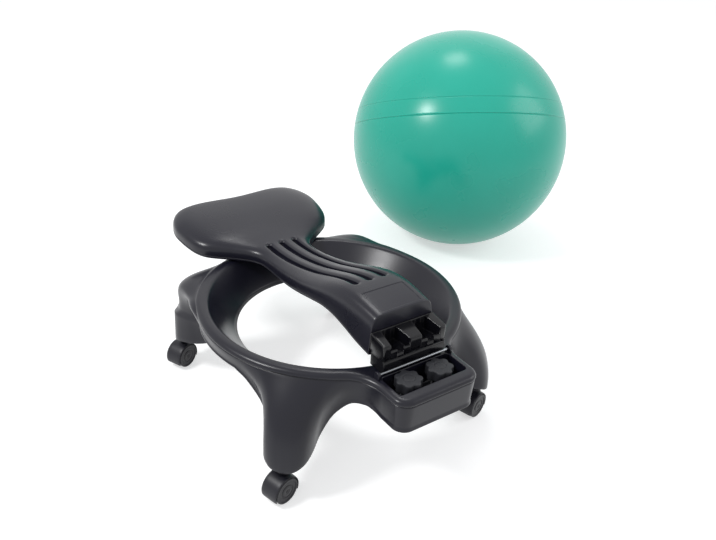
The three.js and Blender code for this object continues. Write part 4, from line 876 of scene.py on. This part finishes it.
def knobHead():
    # Rows: radius, share of the star, height
    big, top, low, hub, hubLow = (knob[key] for key in ("radius", "top", "low", "hub", "hubLow"))
    rows = [(4.3, 0, hubLow), (8.2, 0, hubLow), (8.8, 0, hubLow + 0.2), (hub, 0, hubLow + 0.8),
            (hub, 0, low - 1.2), (hub + 0.4, 0, low - 0.3), (hub + 1.4, 0, low), (14.5, 0.2, low)]
    rows += [(big - 1.6 * b, 1, low + 1.6 * a) for a, b in quarterRound(6)]
    rows += [(big, 1, low + 5), (big, 1, low + 10)]
    rows += [(big - 2.4 * a, 1, top - 0.6 - 2.4 * b) for a, b in quarterRound(8)]
    # slightly crowned top with a shallow ring
    rows += [(radius, share, top - drop) for radius, share, drop in (
        (17, 0.85, 0.45), (14, 0.6, 0.32), (11.5, 0.35, 0.2), (10.2, 0.15, 0.15),
        (9.9, 0.1, 0.5), (9.5, 0.05, 0.6), (9.1, 0, 0.5), (8.8, 0, 0.12), (6, 0, 0.04),
        (3, 0, 0), (0.6, 0, 0))]
    facets = 24 * knob["lobes"]
    wave = (1 - np.cos(fullTurn(facets) * knob["lobes"])) / 2
    notch = knob["depth"] * wave ** knob["power"]
    return turned([(radius - share * notch, z) for radius, share, z in rows], facets)


for side in ("left", "right"):
    at = middleOf("knob_head_" + side)
    at[2] = 0
    addPiece("knob_star_" + side, [knobHead()], knobMaterial, "knob_" + side,
             ["knob_head_" + side], at)

# Casters: twin wheels under a hood that curves over them from 25 degrees below the axle
caster = dict(wheel=22.5, near=3.35, far=16.35, bore=2.85, blind=15.1, hoodIn=23.7, hoodOut=25.7,
              hoodHalf=16, turn=25, web=3, webRadius=24.4, boss=8, bossTop=53.3, trail=10)
corners = ("rear_left", "rear_right", "front_right", "front_left")


def hood():
    # An arch whose section has round shoulders, drawn in to a point at both of its ends,
    # and the web between the wheels
    inside, outside, half = caster["hoodIn"], caster["hoodOut"], caster["hoodHalf"]
    section = rounded([
        (-half, inside, 0.7), (-half, outside - 0.8, 1.2), (-half + 3.5, outside, 4),
        (half - 3.5, outside, 4), (half, outside - 0.8, 1.2), (half, inside, 0.7),
    ], 5)
    middle = (inside + outside) / 2
    low = -math.radians(caster["turn"])
    high = math.pi - low
    ends = [(0.0, 0.9), (0.008, 0.5), (0.02, 0.22), (0.035, 0.06), (0.055, 0)]
    angles = [(low + a, inset) for a, inset in ends]
    angles += [(a, 0) for a in np.linspace(low + 0.08, high - 0.08, 44)]
    angles += [(high - a, inset) for a, inset in ends[::-1]]
    rows = []
    for angle, inset in angles:
        r = middle + (section[:, 1] - middle) * (1 - inset)
        x = section[:, 0] * (1 - inset * 0.06)
        rows.append(np.c_[r * math.cos(angle), x, r * math.sin(angle)])
    web = onArc(caster["webRadius"], np.linspace(low, high, 40))
    web = carried(web, roundedEnds(-caster["web"], caster["web"], 0.6))
    up = (0, 0, caster["wheel"])
    return [moved(solid(rows), place=up), moved(web, swapped, up)]


boss, top = caster["boss"], caster["bossTop"]
stemBoss = turned(rounded([
    (0, 44, 0), (9.8, 44, 0.2), (8.8, 47.4, 1), (boss, 49.4, 1), (boss, top, 0.8),
    (5.4, top, 0.2), (5.4, top - 1, 0.1), (0, top - 1, 0),
], closed=False), 48)
fork = hood() + [moved(stemBoss, place=(-caster["trail"], 0, 0))]
near, far, rim = caster["near"], caster["far"], caster["wheel"]
disc = turned(rounded([
    (0, caster["blind"], 0), (caster["bore"], caster["blind"], 0.2),
    (caster["bore"], near, 0.2), (6, near, 0.2), (6.4, near + 0.5, 0.2), (18.5, near + 0.5, 0.4),
    (19, near, 0.2), (rim, near, 1.2), (rim, far, 2.4), (rim - 3.2, far, 0.5),
    (rim - 4, far - 1.4, 0.5), (rim - 9.5, far - 0.9, 0.8), (rim - 10.4, far - 2, 0.4),
    (rim - 12.2, far - 2, 0.4), (rim - 13, far - 0.8, 0.5), (5.4, far - 0.4, 0.8),
    (4.6, far - 0.9, 0.4), (0, far - 0.7, 0),
], closed=False), 72)
for corner in corners:
    axle = middleOf("caster_axle_" + corner)
    ahead = axle - middleOf("caster_stem_" + corner)
    heading = rotation(math.atan2(ahead[1], ahead[0]))
    axle[2] = 0
    addPiece("caster_fork_" + corner, [moved(part, heading) for part in fork], casterMaterial,
             "caster_" + corner, ["caster_hood_" + corner], axle)
    for letter, way in (("a", -1), ("b", 1)):
        upright = moved(disc, rotation(way * math.pi / 2, "X"))
        wheel = corner + "_" + letter
        addPiece("caster_disc_" + wheel, [moved(upright, heading, (0, 0, rim))], wheelMaterial,
                 "wheel_" + wheel, ["caster_wheel_" + wheel], axle)
print("casters done")

# Screws of the back: pan heads with a cross recess
screw = dict(proud=0.5, slot=0.55, arm=2.0, recess=1.1)
rows = []
for radius, z in ((3.6, 3), (3.6, 0.9), (3.45, 0.4), (3.1, 0.12), (2.6, 0), (2.2, 0), (2.05, 0),
                  (1.95, 0), (1.6, 0), (1.2, 0), (0.9, 0), (0.6, 0), (0.4, 0)):
    row = aroundZ(radius, z, fullTurn(64))
    x, y = np.abs(row[:, :2]).T
    inside = (np.minimum(x, y) < screw["slot"]) & (np.maximum(x, y) < screw["arm"])
    row[:, 2] += np.where(inside, screw["recess"], 0)
    rows.append(row)
screwHead = solid(rows)
for number in range(1, 9):
    node = "back_screw_%d" % number
    at = middleOf(node)
    at[2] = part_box(node)[0].z - (1 + screw["proud"]) * mm
    addPiece("pan_screw_%d" % number, [screwHead], zincSteel, "back", [node], at)

# Camera at the photo's angle, as right, up and back vectors with its place
camera = addObject("photo_camera", bpy.data.cameras.new("photo_camera"))
view = np.array([
    [-0.81917, -0.24094, 0.52049, 0.6578],
    [0.57119, -0.42494, 0.70226, 0.9647],
    [0.05198, 0.87257, 0.48572, 0.9076],
    [0, 0, 0, 1],
])
view[:3, 3] += chairPlace
camera.matrix_world = Matrix(view)
camera.data.lens = 39.34
camera.data.sensor_fit = "HORIZONTAL"
camera.data.sensor_width = 36
bpy.context.scene.camera = camera
bpy.context.scene.view_settings.view_transform = "Standard"

middle = chairPlace + [-0.2, -0.1, 0.2]


def softLight(name, place, size, radiance):
    # Square area light of a given side, turned towards the object's middle. Its power is
    # pi times its radiance and its area.
    light = bpy.data.lights.new(name, "AREA")
    light.size, light.energy = size, math.pi * radiance * size * size
    lamp = addObject(name, light)
    at, target = Vector(middle + place), Vector(middle)
    turn = (target - at).to_track_quat("-Z", "Y").to_matrix().to_4x4()
    lamp.matrix_world = Matrix.Translation(at) @ turn


softLight("key_left", (1.75, -0.2, 1.75), 0.45, 48)
softLight("far_high", (-0.6, -1.0, 2.4), 0.6, 8)
softLight("far_low", (-1.4, -1.9, 1.25), 2.4, 0.2)
softLight("side_right", (-1.9, 1.2, 1.3), 1.4, 2.4)


def backdropRays(tree):
    # 1 for the rays that show the backdrop: from the camera, from gloss and through glass
    path = addNode(tree, "LightPath").outputs
    gloss = addNode(tree, "Math", {0: path["Is Glossy Ray"], 1: path["Is Transmission Ray"]},
                    operation="MAXIMUM")
    return addNode(tree, "Math", {0: path["Is Camera Ray"], 1: gloss.outputs[0]},
                   operation="MAXIMUM").outputs[0]


# World: a pale room, white as a backdrop
world = bpy.data.worlds.new("studio")
bpy.context.scene.world = world
world.use_nodes = True
tree = world.node_tree
tree.nodes.clear()
room = addNode(tree, "Background", {"Color": (0.97, 0.98, 1, 1), "Strength": 0.72})
white = addNode(tree, "Background", {"Color": (1, 1, 1, 1), "Strength": 1.0})
both = addNode(tree, "MixShader", {
    "Fac": backdropRays(tree), 1: room.outputs[0], 2: white.outputs[0]})
addNode(tree, "OutputWorld", {"Surface": both.outputs[0]})

# Floor: matt paper that keeps the shadow, lifted to white as a backdrop
floor = bpy.data.meshes.new("floor")
reach = 14.0
floor.from_pydata([(-reach, -reach, 0), (reach, -reach, 0), (reach, reach, 0), (-reach, reach, 0)],
                  [], [(0, 1, 2, 3)])
floorMaterial, tree = emptyMaterial("matt paper")
paper = addNode(tree, "BsdfDiffuse", {"Color": (0.65, 0.65, 0.65, 1)})
lift = addNode(tree, "Math", {0: backdropRays(tree), 1: 0.53}, operation="MULTIPLY")
glow = addNode(tree, "Emission", {"Color": (1, 1, 1, 1), "Strength": lift.outputs[0]})
both = addNode(tree, "AddShader", {0: paper.outputs[0], 1: glow.outputs[0]})
addNode(tree, "OutputMaterial", {"Surface": both.outputs[0]})
floor.materials.append(floorMaterial)
addObject("floor", floor)

# CAD pieces that stay in view get their metals
metals = dict(threaded_insert=insertBrass, knob_stud=zincSteel, knob_washer=zincSteel,
              caster_socket=zincSteel, caster_stem=zincSteel, caster_axle=zincSteel)
for node, material in [(kind + "_" + end, material) for kind, material in metals.items()
                       for end in (corners if "caster" in kind else ("left", "right"))]:
    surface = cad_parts[node].data
    surface.materials.clear()
    surface.materials.append(material)
